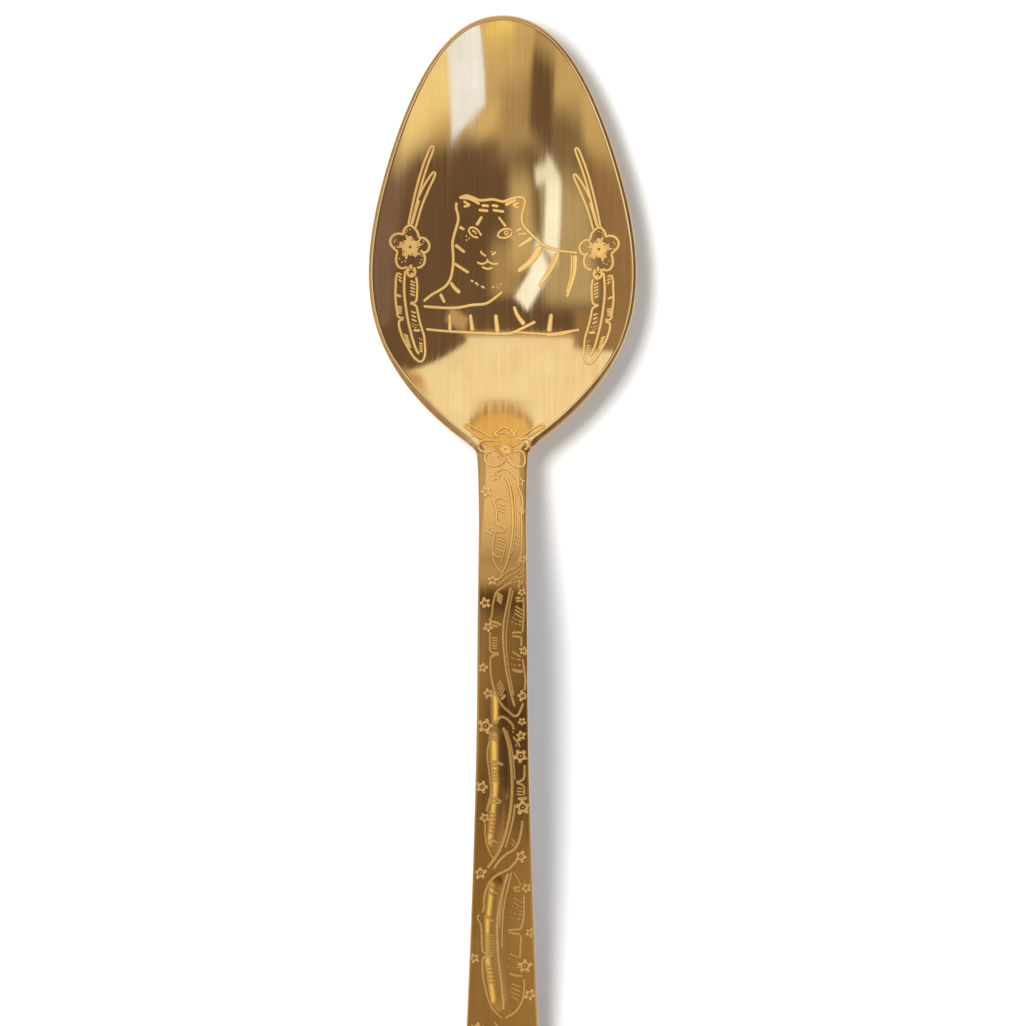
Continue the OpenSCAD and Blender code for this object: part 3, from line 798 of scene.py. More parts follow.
@dataclass
class Relief:
    """The struck lines of one node, raised together from one drawing."""

    node: str
    form: SpoonForm
    placement: Placement = Placement()
    rise: float = 0.1
    root: float = 0.1
    # The skirt and the run below it set the band of painted shade along each ridge's sides.
    skirt: float = 0.04
    painted_shade_run: float = 0.07
    ring_points: int = 12
    roundness: float = 1.2
    step: float = 0.12
    bead_pitch: float = 0.3
    margin: float = 0.16
    end_shares: tuple[float, ...] = (0.0, 0.05, 0.2, 0.45, 0.75)
    blunt: float = 0.03
    weld: float = 0.0005
    crease: float = 60.0
    strokes: list[Stroke] = field(default_factory=list)

    def line(self, *path: Point, width: float = 0.25, tail: float = 0.0, beads: float = 0.0) -> None:
        """Draws a line.

        Args:
            path: The points that it passes through.
            width: Its width where it starts.
            tail: Its width where it ends, or 0 for the same.
            beads: How much its width swells and shrinks along it, as a share.
        """
        placed = tuple(self.placement.put(p) for p in path)
        self.strokes.append(Stroke(placed, width, tail or width, beads))

    def lines(self, *paths: Path, width: float = 0.25) -> None:
        """Draws several lines of one width."""
        for path in paths:
            self.line(*path, width=width)

    def ring(self, centre: Point, radius: float, width: float) -> None:
        """Draws a closed ring."""
        placed = tuple(self.placement.put(p) for p in arc(centre, radius, 0, 345, 24))
        self.strokes.append(Stroke(placed, width, width, closed=True))

    def dots(self, *centres: Point, width: float = 0.17) -> None:
        """Draws round dots."""
        for x, y in centres:
            reach = width / 2
            self.line((x - reach, y), (x + reach, y), width=width)

    def hatch(self, first: Path, last: Path, count: int, width: float = 0.15) -> None:
        """Draws a row of short lines.

        Args:
            first: The two ends of the first line.
            last: The two ends of the last line.
            count: How many lines.
            width: Their width.
        """
        for i in range(count):
            share = i / max(1, count - 1)
            ends = [tuple(Vector(a).lerp(Vector(b), share)) for a, b in zip(first, last)]
            self.line(*ends, width=width)

    def _inside(self, path: Path) -> list[Path]:
        """Cuts a path where it leaves the face of the spoon.

        Args:
            path: The dense path.

        Returns:
            The stretches that lie on the face.
        """
        stretches, current = [], []
        for x, y in path:
            if abs(x) < self.form.row(y)[0] - self.margin:
                current.append((x, y))
            else:
                stretches.append(current)
                current = []
        stretches.append(current)
        return [s for s in stretches if len(s) > 2]

    def _ridge(self, curve: bpy.types.Curve, path: Path, stroke: Stroke) -> None:
        """Adds one ridge with round ends to the flat drawing.

        Args:
            curve: The drawing.
            path: The ridge's dense path.
            stroke: The line that it belongs to.
        """
        runs = [0.0]
        for a, b in zip(path, path[1:]):
            runs.append(runs[-1] + math.dist(a, b))
        length = runs[-1]
        cap = stroke.width / 2
        near = [cap * share for share in self.end_shares]
        inner = [run for run in runs if cap < run < length - cap]
        places = runs if stroke.closed else near + inner + [length - n for n in reversed(near)]
        if not stroke.closed and length < 2.2 * cap:
            places = near + [length / 2] + [length - n for n in reversed(near)]
        spline = curve.splines.new("POLY")
        spline.points.add(len(places) - 1)
        spline.use_cyclic_u = stroke.closed
        k = 0
        skirt = min(self.skirt, stroke.width / 3)
        for point, run in zip(spline.points, places):
            while k < len(runs) - 2 and runs[k + 1] < run:
                k += 1
            share = (run - runs[k]) / max(runs[k + 1] - runs[k], 1e-6)
            x, y = Vector(path[k]).lerp(Vector(path[k + 1]), share)
            point.co = (x, y, 0, 1)
            wide = stroke.width + (stroke.tail - stroke.width) * run / length
            swell = 1 + stroke.beads * math.sin(math.tau * run / self.bead_pitch)
            ends = min(run, length - run) / cap
            close = 1.0 if stroke.closed or ends >= 1 else math.sqrt(max(self.blunt, 1 - (1 - ends) ** 2))
            point.radius = (wide / 2 + skirt) * swell * close

    def _raise(self, piece: bpy.types.Object) -> None:
        """Raises the flat drawing's round ridges from the spoon's face, and marks their sides and roots for a
        painted shade.

        Args:
            piece: The ridges as a mesh, ring by ring.
        """
        layer = piece.data.attributes.new(SHADE_AND_GLINT_LAYER, "FLOAT", "POINT")
        depths = [vertex.co.z for vertex in piece.data.vertices]
        for i, vertex in enumerate(piece.data.vertices):
            ring = i - i % self.ring_points
            reach = max(depths[ring : ring + self.ring_points])
            x, y, z = vertex.co
            inset = reach - math.sqrt(max(0.0, reach**2 - z**2))
            # Painted shade: full on the sides and the root, fading towards the crest, for the dark that steep
            # flanks show.
            layer.data[i].value = 1.0 if z <= 0 else max(0.0, 1 - inset / min(self.painted_shade_run, 0.45 * reach))
            height = self.rise * (z / reach) ** self.roundness if z > 0 else max(-self.root, z)
            vertex.co = self.form.lifted(x, y, height)

    def build(self) -> bpy.types.Object:
        """Makes the ridges flat, then raises them from the spoon's face.

        Returns:
            The piece.
        """
        deselect()
        bpy.ops.curve.primitive_bezier_curve_add(location=(0, 0, 0))
        piece = bpy.context.object
        piece.name = "struck_" + self.node
        curve = piece.data
        curve.splines.clear()
        curve.dimensions = "3D"
        curve.twist_mode = "Z_UP"
        curve.bevel_depth = 1.0
        curve.bevel_resolution = 4
        curve.use_fill_caps = True
        for stroke in self.strokes:
            dense = flowing(list(stroke.path), self.step)
            for stretch in self._inside(dense):
                self._ridge(curve, stretch, stroke)
        choose(piece)
        bpy.ops.object.convert(target="MESH")
        self._raise(piece)
        bpy.ops.object.mode_set(mode="EDIT")
        bpy.ops.mesh.select_all(action="SELECT")
        bpy.ops.mesh.remove_doubles(threshold=self.weld * MM)
        bpy.ops.mesh.normals_make_consistent(inside=False)
        bpy.ops.object.mode_set(mode="OBJECT")
        smoothed(piece, self.crease)
        return piece


# --------------------------------------------------------------------------- the tiger


@dataclass
class Tiger:
    """The tiger that lies in the middle of the bowl."""

    form: SpoonForm
    outline_width: float = 0.27
    fine: float = 0.2

    def outline(self) -> Relief:
        """Draws the head, the back, the chest and the line of the foreleg."""
        relief = Relief("tiger_outline", self.form)
        relief.line((-4.95, 49.3), (-4.1, 49.58), (-3.4, 49.38), (-2.55, 49.06), (-1.1, 49.16),
                    (0.07, 48.92), (0.65, 49.12), (1.35, 49.35), (1.96, 49.43), (2.4, 49.31), (2.57, 49.04),
                    (2.5, 48.5), (2.3, 47.8), (2.2, 47.1), (2.27, 46.5), (2.57, 45.96), (3.0, 45.47),
                    (3.8, 44.68), (4.52, 44.05), (5.25, 43.66), (6.22, 43.38), (7.44, 43.15), (8.56, 43.05),
                    width=self.outline_width)
        relief.line((-5.25, 48.82), (-5.27, 48.1), (-5.08, 47.36), (-5.06, 46.75), (-5.25, 46.0),
                    (-5.53, 45.04), (-5.7, 44.2), (-5.65, 43.2), (-5.61, 42.2), (-5.69, 41.27),
                    (-5.81, 40.54), (-6.05, 39.87), (-6.5, 39.25), (-7.17, 38.77), (-8.03, 38.28),
                    (-9.0, 37.5), width=self.outline_width)
        relief.line((-9.0, 36.94), (-7.78, 36.84), (-6.2, 36.76), (-4.98, 36.82), (-3.52, 37.1),
                    (-1.9, 37.28), (-0.96, 37.86), (-0.02, 38.62), width=self.outline_width)
        relief.line((-4.85, 49.4), (-3.95, 49.3), (-3.2, 49.0), (-2.6, 48.62), width=0.36, tail=0.3)
        relief.line((-4.45, 48.98), (-4.05, 48.7), (-3.7, 48.5), width=0.26)
        relief.line((-3.75, 48.48), (-4.45, 48.32), width=0.26)
        relief.line((0.3, 48.52), (0.8, 48.78), (1.6, 49.12), width=0.42, tail=0.34)
        relief.line((1.15, 48.52), (1.9, 48.78), width=0.3)
        relief.line((1.2, 48.45), (1.9, 48.2), width=0.26)
        return relief

    def face(self) -> Relief:
        """Draws the forehead marks, eyes, nose and mouth."""
        relief = Relief("tiger_face", self.form)
        relief.lines([(-2.4, 48.47), (-1.55, 48.43)], [(-1.25, 48.5), (-0.45, 48.38)],
                     [(-2.75, 47.96), (-1.62, 47.86)], [(-1.15, 47.96), (0.2, 47.76)], width=0.29)
        relief.line((-2.33, 47.22), (-2.6, 46.8), (-2.97, 46.2), width=0.3, tail=0.36)
        relief.line((-0.45, 47.18), (-0.1, 46.7), (0.38, 46.08), width=0.18, tail=0.3)
        relief.line((-3.86, 45.8), (-3.5, 45.97), (-3.05, 45.85), (-2.7, 45.5), (-2.42, 45.02),
                    width=self.fine)
        relief.line((-3.86, 45.8), (-3.78, 45.4), (-3.45, 45.02), (-3.0, 44.84), (-2.75, 44.82),
                    width=self.fine)
        relief.line((-0.6, 44.98), (-0.35, 45.45), (0.1, 45.75), (0.6, 45.82), (1.05, 45.62),
                    width=self.fine)
        relief.line((-0.6, 44.98), (-0.1, 44.8), (0.5, 44.84), (0.95, 45.1), (1.1, 45.5), width=self.fine)
        relief.line((-3.5, 45.62), (-3.2, 45.5), (-3.0, 45.2), width=0.2, tail=0.14)
        relief.ring((0.42, 45.34), 0.2, 0.13)
        relief.dots((-4.13, 44.98), (-3.82, 44.71), (-4.13, 44.52), (1.11, 44.74), (1.4, 44.9),
                    (1.35, 44.58))
        relief.line((-2.5, 43.32), (-2.35, 43.0), (-2.1, 42.85), (-1.88, 42.68), width=self.fine)
        relief.line((-1.33, 43.2), (-1.15, 43.22), width=0.15)
        relief.line((-0.75, 43.2), (-0.95, 43.0), (-1.25, 42.82), width=0.24)
        relief.line((-1.72, 42.4), (-1.71, 42.02), width=self.fine)
        relief.line((-2.92, 42.02), (-2.45, 41.82), (-2.0, 41.9), (-1.71, 42.08), (-1.35, 41.9),
                    (-1.0, 41.8), (-0.5, 41.86), width=self.fine)
        relief.line((-2.36, 41.5), (-1.95, 41.3), (-1.6, 41.25), (-1.14, 41.36), width=0.22)
        relief.lines([(-3.65, 39.93), (-3.3, 39.8)], [(-3.12, 39.72), (-2.75, 39.35)],
                     [(-2.45, 39.28), (-2.05, 39.05)], [(-1.2, 39.14), (-0.95, 39.2)], width=self.fine)
        relief.dots((-0.62, 39.2), (-0.42, 39.05), (-0.3, 39.42), (-0.1, 39.55), width=0.15)
        return relief

    def stripes(self) -> Relief:
        """Draws the stripes on the cheeks, the neck and the flank."""
        relief = Relief("tiger_stripes", self.form)
        relief.line((-4.95, 46.05), (-4.35, 45.72), width=0.32, tail=0.28)
        relief.line((-5.42, 43.98), (-4.9, 43.6), (-4.3, 43.1), width=0.36, tail=0.3)
        relief.line((-5.5, 41.85), (-4.8, 41.4), (-3.85, 40.8), width=0.32, tail=0.3)
        relief.line((-5.9, 39.7), (-5.5, 39.1), (-4.85, 38.5), width=0.34, tail=0.44)
        relief.line((-7.1, 38.4), (-6.85, 37.9), (-6.6, 37.35), width=0.34, tail=0.3)
        relief.line((2.2, 45.84), (1.55, 45.55), width=0.3, tail=0.2)
        relief.line((2.75, 45.3), (1.75, 45.15), width=0.2, tail=0.15)
        self._flank(relief, (3.4, 44.8), (2.7, 44.35), (1.85, 43.8), 0.5, 0.0)
        self._flank(relief, (4.3, 43.75), (3.35, 42.25), (1.75, 40.95), 0.85, 0.0)
        self._flank(relief, (6.3, 43.0), (5.45, 41.2), (4.05, 39.15), 0.72, 0.2)
        self._flank(relief, (8.2, 42.8), (8.05, 40.6), (7.25, 38.0), 0.72, 0.2)
        return relief

    @staticmethod
    def _flank(relief: Relief, top: Point, middle: Point, low: Point, width: float, seam: float) -> None:
        """Draws one flank stripe: a broad body, with a narrow second ridge along its left if it has a seam.

        Args:
            relief: The drawing.
            top: The stripe's broad end.
            middle: Its middle.
            low: Its narrow end.
            width: Its width at the broad end.
            seam: The second ridge's width, or 0 for none.
        """
        slide = Vector((1, 0)) * seam / 2
        body = [tuple(Vector(p) + slide) for p in (top, middle, low)]
        relief.line(*body, width=width - seam, tail=(width - seam) * 0.6)
        if seam:
            shares = zip((top, middle), (0.4, 0.34))
            ridge = [tuple(Vector(p) - Vector((width * share, 0))) for p, share in shares]
            relief.line(*ridge, tuple(Vector(middle).lerp(Vector(low), 0.8) - slide), width=seam, tail=0.12)

    def paws(self) -> Relief:
        """Draws the ground line and the stripes of the paws."""
        relief = Relief("tiger_paws", self.form)
        relief.line((-8.7, 34.32), (-6.57, 34.12), (-4.13, 33.98), (-1.69, 33.86), (0.5, 33.84),
                    (1.35, 34.02), (2.45, 34.55), (3.75, 35.2), width=0.24, tail=0.3)
        relief.line((1.5, 34.02), (3.79, 33.84), (5.62, 33.78), (7.08, 34.0), (8.75, 34.25), width=0.16,
                    tail=0.26)
        relief.line((5.0, 33.62), (6.6, 33.7), (7.9, 34.05), width=0.13)
        relief.line((-6.02, 36.0), (-5.97, 34.2), width=0.26, tail=0.4)
        relief.line((-3.66, 36.03), (-3.42, 34.15), width=0.3, tail=0.48)
        relief.line((-0.78, 36.03), (-0.56, 33.98), width=0.4, tail=0.5)
        relief.line((1.3, 36.95), (1.72, 35.9), (2.48, 34.88), width=0.32, tail=0.5)
        relief.line((5.55, 36.1), (5.3, 34.05), width=0.4, tail=0.56)
        return relief


# --------------------------------------------------------------------------- the sprigs


@dataclass
class Sprig:
    """A sprig beside the tiger: needles, a blossom and a jointed leaf."""

    side: str
    form: SpoonForm
    placement: Placement
    heart: Point = (-10.55, 43.68)
    stamens: int = 30
    line_width: float = 0.22

    def _sheet(self, part: str) -> Relief:
        """An empty drawing for one part of the sprig."""
        return Relief(f"{self.side}_{part}", self.form, self.placement)

    def needles(self) -> Relief:
        """Draws the two long needles above the blossom."""
        relief = self._sheet("needles")
        relief.line((-10.72, 46.2), (-10.44, 47.6), (-9.9, 50.0), (-9.2, 52.5), (-8.42, 54.6),
                    (-8.12, 55.15), (-7.88, 55.15), (-7.86, 54.85), (-8.5, 53.1), (-9.2, 50.9),
                    (-9.95, 48.0), (-10.4, 46.2), width=self.line_width)
        relief.line((-9.55, 49.4), (-8.95, 50.65), (-8.2, 51.85), (-7.88, 52.2), (-7.68, 52.15),
                    (-7.7, 51.85), (-8.4, 50.3), (-9.25, 48.2), (-9.9, 45.9), width=self.line_width)
        relief.line((-10.3, 46.3), (-9.85, 47.9), (-9.5, 49.0), width=self.line_width)
        return relief

    def blossom(self) -> Relief:
        """Draws the five petals, the stamens and the calyx."""
        relief = self._sheet("blossom")
        relief.lines(
            [(-11.35, 45.0), (-11.25, 45.5), (-10.95, 45.95), (-10.55, 46.15), (-10.1, 45.9), (-9.7, 45.4),
             (-9.52, 44.75)],
            [(-9.55, 44.65), (-9.1, 44.75), (-8.65, 44.5), (-8.35, 44.0), (-8.45, 43.4), (-8.85, 43.08),
             (-9.4, 43.3)],
            [(-9.2, 43.25), (-8.92, 42.8), (-8.85, 42.2), (-9.05, 41.65), (-9.5, 41.35), (-9.75, 41.4)],
            [(-11.95, 43.1), (-12.1, 42.5), (-12.08, 41.9), (-11.8, 41.4), (-11.3, 41.25), (-10.95, 41.45)],
            [(-11.3, 45.1), (-11.8, 45.2), (-12.4, 45.0), (-12.78, 44.4), (-12.65, 43.85), (-12.2, 43.35),
             (-11.9, 43.15)],
            width=self.line_width + 0.02,
        )
        for i in range(self.stamens):
            turn = math.tau * i / self.stamens
            reach = 1.08 + 0.3 * math.sin(5 * turn - 0.9) + (0.16 if i % 2 else -0.1)
            way = Vector((math.cos(turn), math.sin(turn)))
            start, end = Vector(self.heart) + 0.16 * way, Vector(self.heart) + reach * way
            relief.line(tuple(start), tuple(end), width=0.1, tail=0.19)
            if i % 3 == 0:
                relief.dots(tuple(end + 0.24 * way), width=0.15)
        relief.dots((-12.35, 44.25), (-12.2, 44.45), (-9.0, 44.35), (-9.15, 44.05), (-11.75, 42.35),
                    (-11.45, 41.95), (-9.25, 42.25), (-9.4, 41.9), (-10.9, 45.55), (-10.55, 45.7),
                    width=0.14)
        relief.line((-10.75, 41.45), (-10.85, 40.85), (-10.6, 40.4), (-10.15, 40.4), (-9.95, 40.85),
                    (-10.1, 41.4), width=0.26)
        relief.line((-10.45, 41.7), (-10.42, 41.15), width=0.34, tail=0.24)
        relief.line((-10.45, 40.75), (-10.2, 40.45), width=0.3)
        relief.dots((-10.65, 41.05), (-10.2, 41.05), width=0.2)
        return relief

    def leaf(self) -> Relief:
        """Draws the jointed leaf below the blossom."""
        relief = self._sheet("leaf")
        relief.line((-11.95, 40.75), (-12.13, 40.1), (-12.15, 39.3), (-12.2, 38.2), (-12.12, 37.2),
                    (-12.0, 36.4), (-11.93, 35.85), (-11.7, 35.62), (-11.25, 35.6), width=self.line_width)
        relief.line((-11.3, 35.4), (-11.72, 35.25), (-11.78, 34.7), (-11.6, 34.0), (-11.3, 33.2),
                    (-10.9, 32.45), (-10.5, 31.75), (-10.15, 31.2), (-9.75, 30.8), (-9.4, 30.6),
                    (-9.1, 30.7), (-8.9, 31.1), (-8.8, 31.8), (-8.85, 32.6), (-8.95, 33.6), (-9.2, 34.4),
                    (-9.45, 35.3), (-9.65, 36.2), (-9.78, 36.85), (-10.1, 37.15), (-10.5, 37.25),
                    width=self.line_width)
        relief.line((-10.5, 37.3), (-9.95, 37.42), (-9.78, 37.75), (-9.74, 38.5), (-9.72, 39.4),
                    (-9.85, 40.3), width=self.line_width)
        relief.line((-11.05, 41.0), (-11.15, 40.2), (-11.2, 39.2), (-11.15, 38.0), (-11.0, 36.8),
                    (-10.82, 35.6), (-10.6, 34.6), (-10.35, 33.6), (-10.05, 32.6), (-9.8, 31.95),
                    (-9.5, 31.45), width=0.24)
        relief.line((-12.15, 38.25), (-11.55, 38.02), width=0.26)
        relief.hatch([(-10.5, 39.85), (-9.98, 39.6)], [(-10.52, 38.35), (-10.0, 38.15)], 5)
        relief.hatch([(-10.4, 36.35), (-9.9, 36.15)], [(-10.35, 35.45), (-9.8, 35.2)], 3)
        relief.dots((-10.25, 34.9), (-9.98, 34.8), (-9.7, 34.75), (-10.2, 34.6), (-9.9, 34.5), width=0.14)
        relief.line((-10.15, 34.2), (-9.4, 34.15), width=0.26)
        relief.hatch([(-11.9, 40.75), (-11.5, 40.5)], [(-11.85, 40.0), (-11.5, 39.7)], 3)
        relief.hatch([(-11.95, 36.9), (-11.45, 36.8)], [(-11.9, 36.15), (-11.5, 36.1)], 4)
        relief.hatch([(-11.25, 33.75), (-10.75, 33.45)], [(-10.85, 32.55), (-10.4, 32.2)], 5)
        relief.hatch([(-9.5, 32.75), (-9.1, 32.6)], [(-9.45, 31.9), (-9.1, 31.7)], 4, width=0.13)
        relief.dots((-9.45, 33.25), (-9.25, 33.1), width=0.13)
        return relief


# --------------------------------------------------------------------------- the neck


@dataclass
class NeckFlower:
    """The blossom and its needles where the bowl runs into the handle."""

    form: SpoonForm
    heart: Point = (0.35, 20.6)
    stamens: int = 18

    def needles(self) -> Relief:
        """Draws the needles that spread to both sides."""
        relief = Relief("neck_needles", self.form)
        relief.line((-2.4, 21.85), (-3.0, 22.28), (-3.8, 22.88), (-4.3, 23.3), (-4.15, 23.48),
                    (-3.3, 23.12), (-2.2, 22.52), (-1.2, 21.95), width=0.2)
        relief.line((2.4, 22.25), (3.2, 22.8), (3.9, 23.2), (4.6, 23.45), (4.75, 23.25), (4.2, 22.85),
                    (3.6, 22.48), (3.0, 22.1), width=0.2)
        relief.line((-1.2, 22.9), (-0.85, 22.4), (-0.45, 22.0), width=0.18)
        relief.line((1.7, 22.95), (1.45, 22.5), (1.2, 22.1), width=0.18)
        return relief

    def blossom(self) -> Relief:
        """Draws the petals and the stamens."""
        relief = Relief("neck_blossom", self.form)
        relief.lines(
            [(-1.0, 22.0), (-0.75, 22.5), (-0.3, 22.92), (0.2, 23.12), (0.75, 22.95), (1.15, 22.55),
            (1.4, 22.05)],
            [(-0.9, 21.6), (-1.6, 21.65), (-2.3, 21.6), (-2.72, 21.1), (-2.6, 20.6), (-2.1, 20.35),
            (-1.5, 20.35)],
            [(-1.2, 20.4), (-1.8, 20.15), (-2.0, 19.6), (-1.85, 19.1), (-1.35, 18.8), (-0.6, 18.75),
            (-0.1, 19.0),
             (0.3, 19.4)],
            [(0.45, 19.85), (0.65, 19.45), (1.0, 19.0), (1.6, 18.65), (2.2, 18.6), (2.5, 19.0), (2.5, 19.7),
             (2.3, 20.3), (1.8, 20.5)],
            [(1.7, 21.85), (2.3, 21.8), (2.85, 21.85), (3.1, 21.4), (2.95, 20.95), (2.5, 20.55)],
            width=0.23,
        )
        relief.line((-0.75, 22.1), (-0.3, 22.45), (0.2, 22.5), (0.7, 22.35), (0.95, 22.0), width=0.16)
        for i in range(self.stamens):
            turn = math.tau * (i + 0.3) / self.stamens
            reach = 1.0 + (0.22 if i % 2 else -0.12)
            way = Vector((1.15 * math.cos(turn), math.sin(turn)))
            start, end = Vector(self.heart) + 0.2 * way, Vector(self.heart) + reach * way
            relief.line(tuple(start), tuple(end), width=0.15, tail=0.13)
            if i % 3 == 0:
                relief.dots(tuple(end + 0.22 * way), width=0.15)
        relief.ring(self.heart, 0.2, 0.15)
        relief.dots((-1.9, 21.2), (-1.7, 20.9), (-1.3, 19.35), (-1.0, 19.15), (1.7, 19.15), (2.0, 19.3),
                    (2.4, 21.3), (2.55, 21.1), width=0.14)
        return relief


# --------------------------------------------------------------------------- the handle


@dataclass
class HandleVine:
    """The chain of leaves, twigs and small blossoms down the handle."""

    form: SpoonForm
    rib_width: float = 0.28
    edge_width: float = 0.22
    thin: float = 0.15
    blossom_growth: float = 1.2
    petals: int = 5
    lean_step: float = 23.0
    lobe_from: float = 0.5
    lobe_ends: tuple[float, float] = (1.02, 0.92)
    lobe_width: float = 0.54
    small_blossoms: tuple[tuple[float, float, float], ...] = (
        (-0.75, 17.6, 0.5), (-1.85, 15.8, 0.6), (-1.4, 11.4, 0.45), (2.05, 16.9, 0.42), (2.2, 13.5, 0.34),
        (2.3, 8.1, 0.4), (-1.1, 5.75, 0.5), (-1.95, 3.2, 0.55), (-1.6, 0.5, 0.5), (-2.2, -4.1, 0.5),
        (-1.6, -7, 0.5), (2.2, 4.4, 0.4), (2.4, -2.2, 0.45), (2.3, -7.3, 0.55), (2.2, -10.2, 0.4),
        (-1.9, -10.7, 0.78), (2.1, -11.8, 0.48), (2.05, -14.1, 0.72), (-2.3, -17.6, 0.6), (2.3, -19.9, 0.78),
        (-2, -21.1, 0.5), (2.1, -25.5, 0.58), (-2.5, -27.4, 0.62), (2.7, -29.1, 0.5), (3.1, -34.2, 0.45),
        (2.55, -38, 0.72), (-3.2, -37.1, 0.5), (3.1, -41.3, 0.6), (-2.8, -45.2, 0.7), (3, -47.3, 0.7),
        (-3.3, -52.2, 0.7), (3.2, -56, 0.8), (-3.3, -58.6, 0.6),
    )

    def leaf_a(self) -> Relief:
        """Draws the first leaf below the neck."""
        relief = Relief("handle_leaf_1", self.form)
        relief.line((-0.55, 18.1), (0.0, 18.42), (0.55, 18.35), (1.0, 18.0), (1.4, 17.55), (1.72, 17.1),
                    (1.78, 16.3), (2.05, 15.6), (2.26, 14.9), (2.28, 14.2), (2.15, 13.0), (2.2, 11.5),
                    (2.15, 10.0), (2.12, 9.0), (1.9, 8.1), (1.5, 7.45), width=self.edge_width)
        relief.line((0.35, 17.5), (0.68, 16.8), (0.9, 15.9), (1.07, 14.7), (1.18, 13.2), (1.18, 11.8),
                    (1.07, 10.4), (0.85, 9.0), (0.5, 7.7), (0.2, 6.95), (0.05, 6.6), width=0.26, beads=0.08)
        relief.line((0.7, 17.45), (1.02, 16.6), (1.25, 15.6), (1.4, 14.4), (1.46, 13.0), (1.42, 11.4),
                    (1.28, 10.0), (1.05, 8.7), width=self.thin)
        relief.line((-1.02, 14.95), (-0.75, 14.9), (-0.3, 15.1), (0.1, 15.05), (0.5, 14.7), width=0.2)
        relief.line((-1.0, 14.9), (-0.85, 14.2), (-0.66, 13.3), (-0.7, 12.4), (-0.55, 12.05), (0.0, 11.9),
                    (0.45, 11.55), width=self.edge_width)
        relief.line((0.42, 11.45), (0.0, 11.25), (-0.7, 11.3), (-0.9, 10.9), (-1.0, 10.2), (-1.12, 9.5),
                    (-1.08, 9.0), (-0.75, 8.5), (-0.15, 8.35), width=self.edge_width)
        relief.line((-1.1, 8.95), (-1.1, 8.3), (-0.9, 7.65), (-0.6, 7.15), (-0.2, 6.7), (0.02, 6.5),
                    width=self.edge_width)
        relief.hatch([(-0.6, 14.55), (0.35, 14.2)], [(-0.45, 13.7), (0.45, 13.35)], 3)
        relief.hatch([(-0.55, 10.85), (0.35, 10.5)], [(-0.75, 9.35), (0.1, 9.0)], 5)
        relief.hatch([(1.5, 10.85), (2.05, 10.5)], [(1.5, 9.9), (2.0, 9.55)], 3, width=0.13)
        relief.line((0.4, 9.9), (-0.2, 7.6), width=self.thin)
        return relief

    def leaf_b(self) -> Relief:
        """Draws the second leaf."""
        relief = Relief("handle_leaf_2", self.form)
        relief.line((1.15, 5.55), (0.6, 5.3), (0.1, 5.0), (-0.4, 4.68), (-0.75, 4.25), (-0.95, 3.6),
                    (-1.1, 2.9), (-1.15, 2.1), (-1.25, 1.6), (-1.5, 1.15), width=self.edge_width)
        relief.line((-1.45, 1.12), (-0.8, 1.0), (-0.1, 0.68), width=0.3)
        relief.line((-1.2, 0.72), (-0.5, 0.5), width=0.24)
        relief.line((0.95, 4.9), (0.75, 3.9), (0.5, 2.7), (0.25, 1.5), (0.12, 0.3), (0.1, -1.2),
                    (0.25, -2.8), (0.45, -4.4), (0.8, -6.1), (1.15, -7.6), (1.4, -8.5),
                    width=self.rib_width, beads=0.08)
        relief.line((1.2, 4.6), (0.98, 3.5), (0.75, 2.3), (0.55, 0.9), (0.42, -0.8), (0.52, -2.6),
                    (0.75, -4.4), (1.05, -6.0), (1.3, -7.2), width=self.thin)
        relief.line((2.35, 3.9), (2.4, 3.1), (2.4, 1.8), (2.32, 0.6), (2.28, -0.1), width=self.edge_width)
        relief.line((2.2, -0.18), (1.6, -0.12), (1.05, -0.18), width=0.2)
        relief.line((1.1, -0.5), (1.6, -0.6), (2.1, -0.7), (2.15, -1.2), (2.15, -1.7), width=0.24)
        relief.line((2.28, -3.1), (2.4, -3.8), (2.52, -4.7), (2.6, -5.6), (2.52, -6.7),
                    width=self.edge_width)
        relief.line((2.35, -8.1), (2.05, -8.9), (1.7, -9.5), (1.3, -9.55), (0.7, -9.05), (0.1, -8.5),
                    (-0.35, -7.85), (-0.75, -7.1), (-1.05, -6.1), (-1.25, -5.1), (-1.35, -4.1),
                    (-1.32, -2.9), width=0.25)
        relief.line((-1.35, -2.95), (-1.0, -2.72), (-0.4, -2.5), width=0.3)
        relief.line((-0.4, -2.45), (-1.3, -2.3), (-1.4, -1.5), (-1.4, -0.7), (-1.35, -0.1),
                    width=self.edge_width)
        relief.hatch([(-0.65, 4.4), (0.05, 3.9)], [(-0.65, 3.6), (-0.1, 3.1)], 4)
        relief.hatch([(-1.25, -0.7), (-0.55, -0.8)], [(-1.25, -1.9), (-0.6, -1.95)], 5)
        relief.hatch([(-0.6, -6.2), (-0.15, -5.5)], [(-0.2, -7.3), (0.25, -6.4)], 4)
        relief.line((-0.15, -7.7), (0.35, -7.15), width=0.32)
        relief.line((1.45, 3.75), (2.1, 3.75), width=0.3)
        relief.line((1.5, 3.4), (2.3, 3.45), width=0.2)
        relief.hatch([(1.45, 2.85), (2.3, 2.3)], [(1.35, 2.05), (2.25, 1.5)], 3)
        relief.dots((1.2, 1.55), (1.5, 1.35), (1.1, 1.05), (1.5, 0.85))
        relief.lines([(1.8, 1.25), (2.25, 1.0)], [(1.8, 0.8), (2.1, 0.72)], [(1.1, -2.3), (2.1, -2.9)],
                     [(1.7, -3.1), (2.05, -3.3)], [(1.75, -3.8), (2.1, -3.85)], width=0.16)
        relief.dots((1.1, -3.0), (1.4, -3.1), (1.05, -3.7), (1.4, -3.82), width=0.16)
        relief.line((1.1, -4.3), (1.7, -4.5), (2.35, -4.5), width=0.32)
        return relief

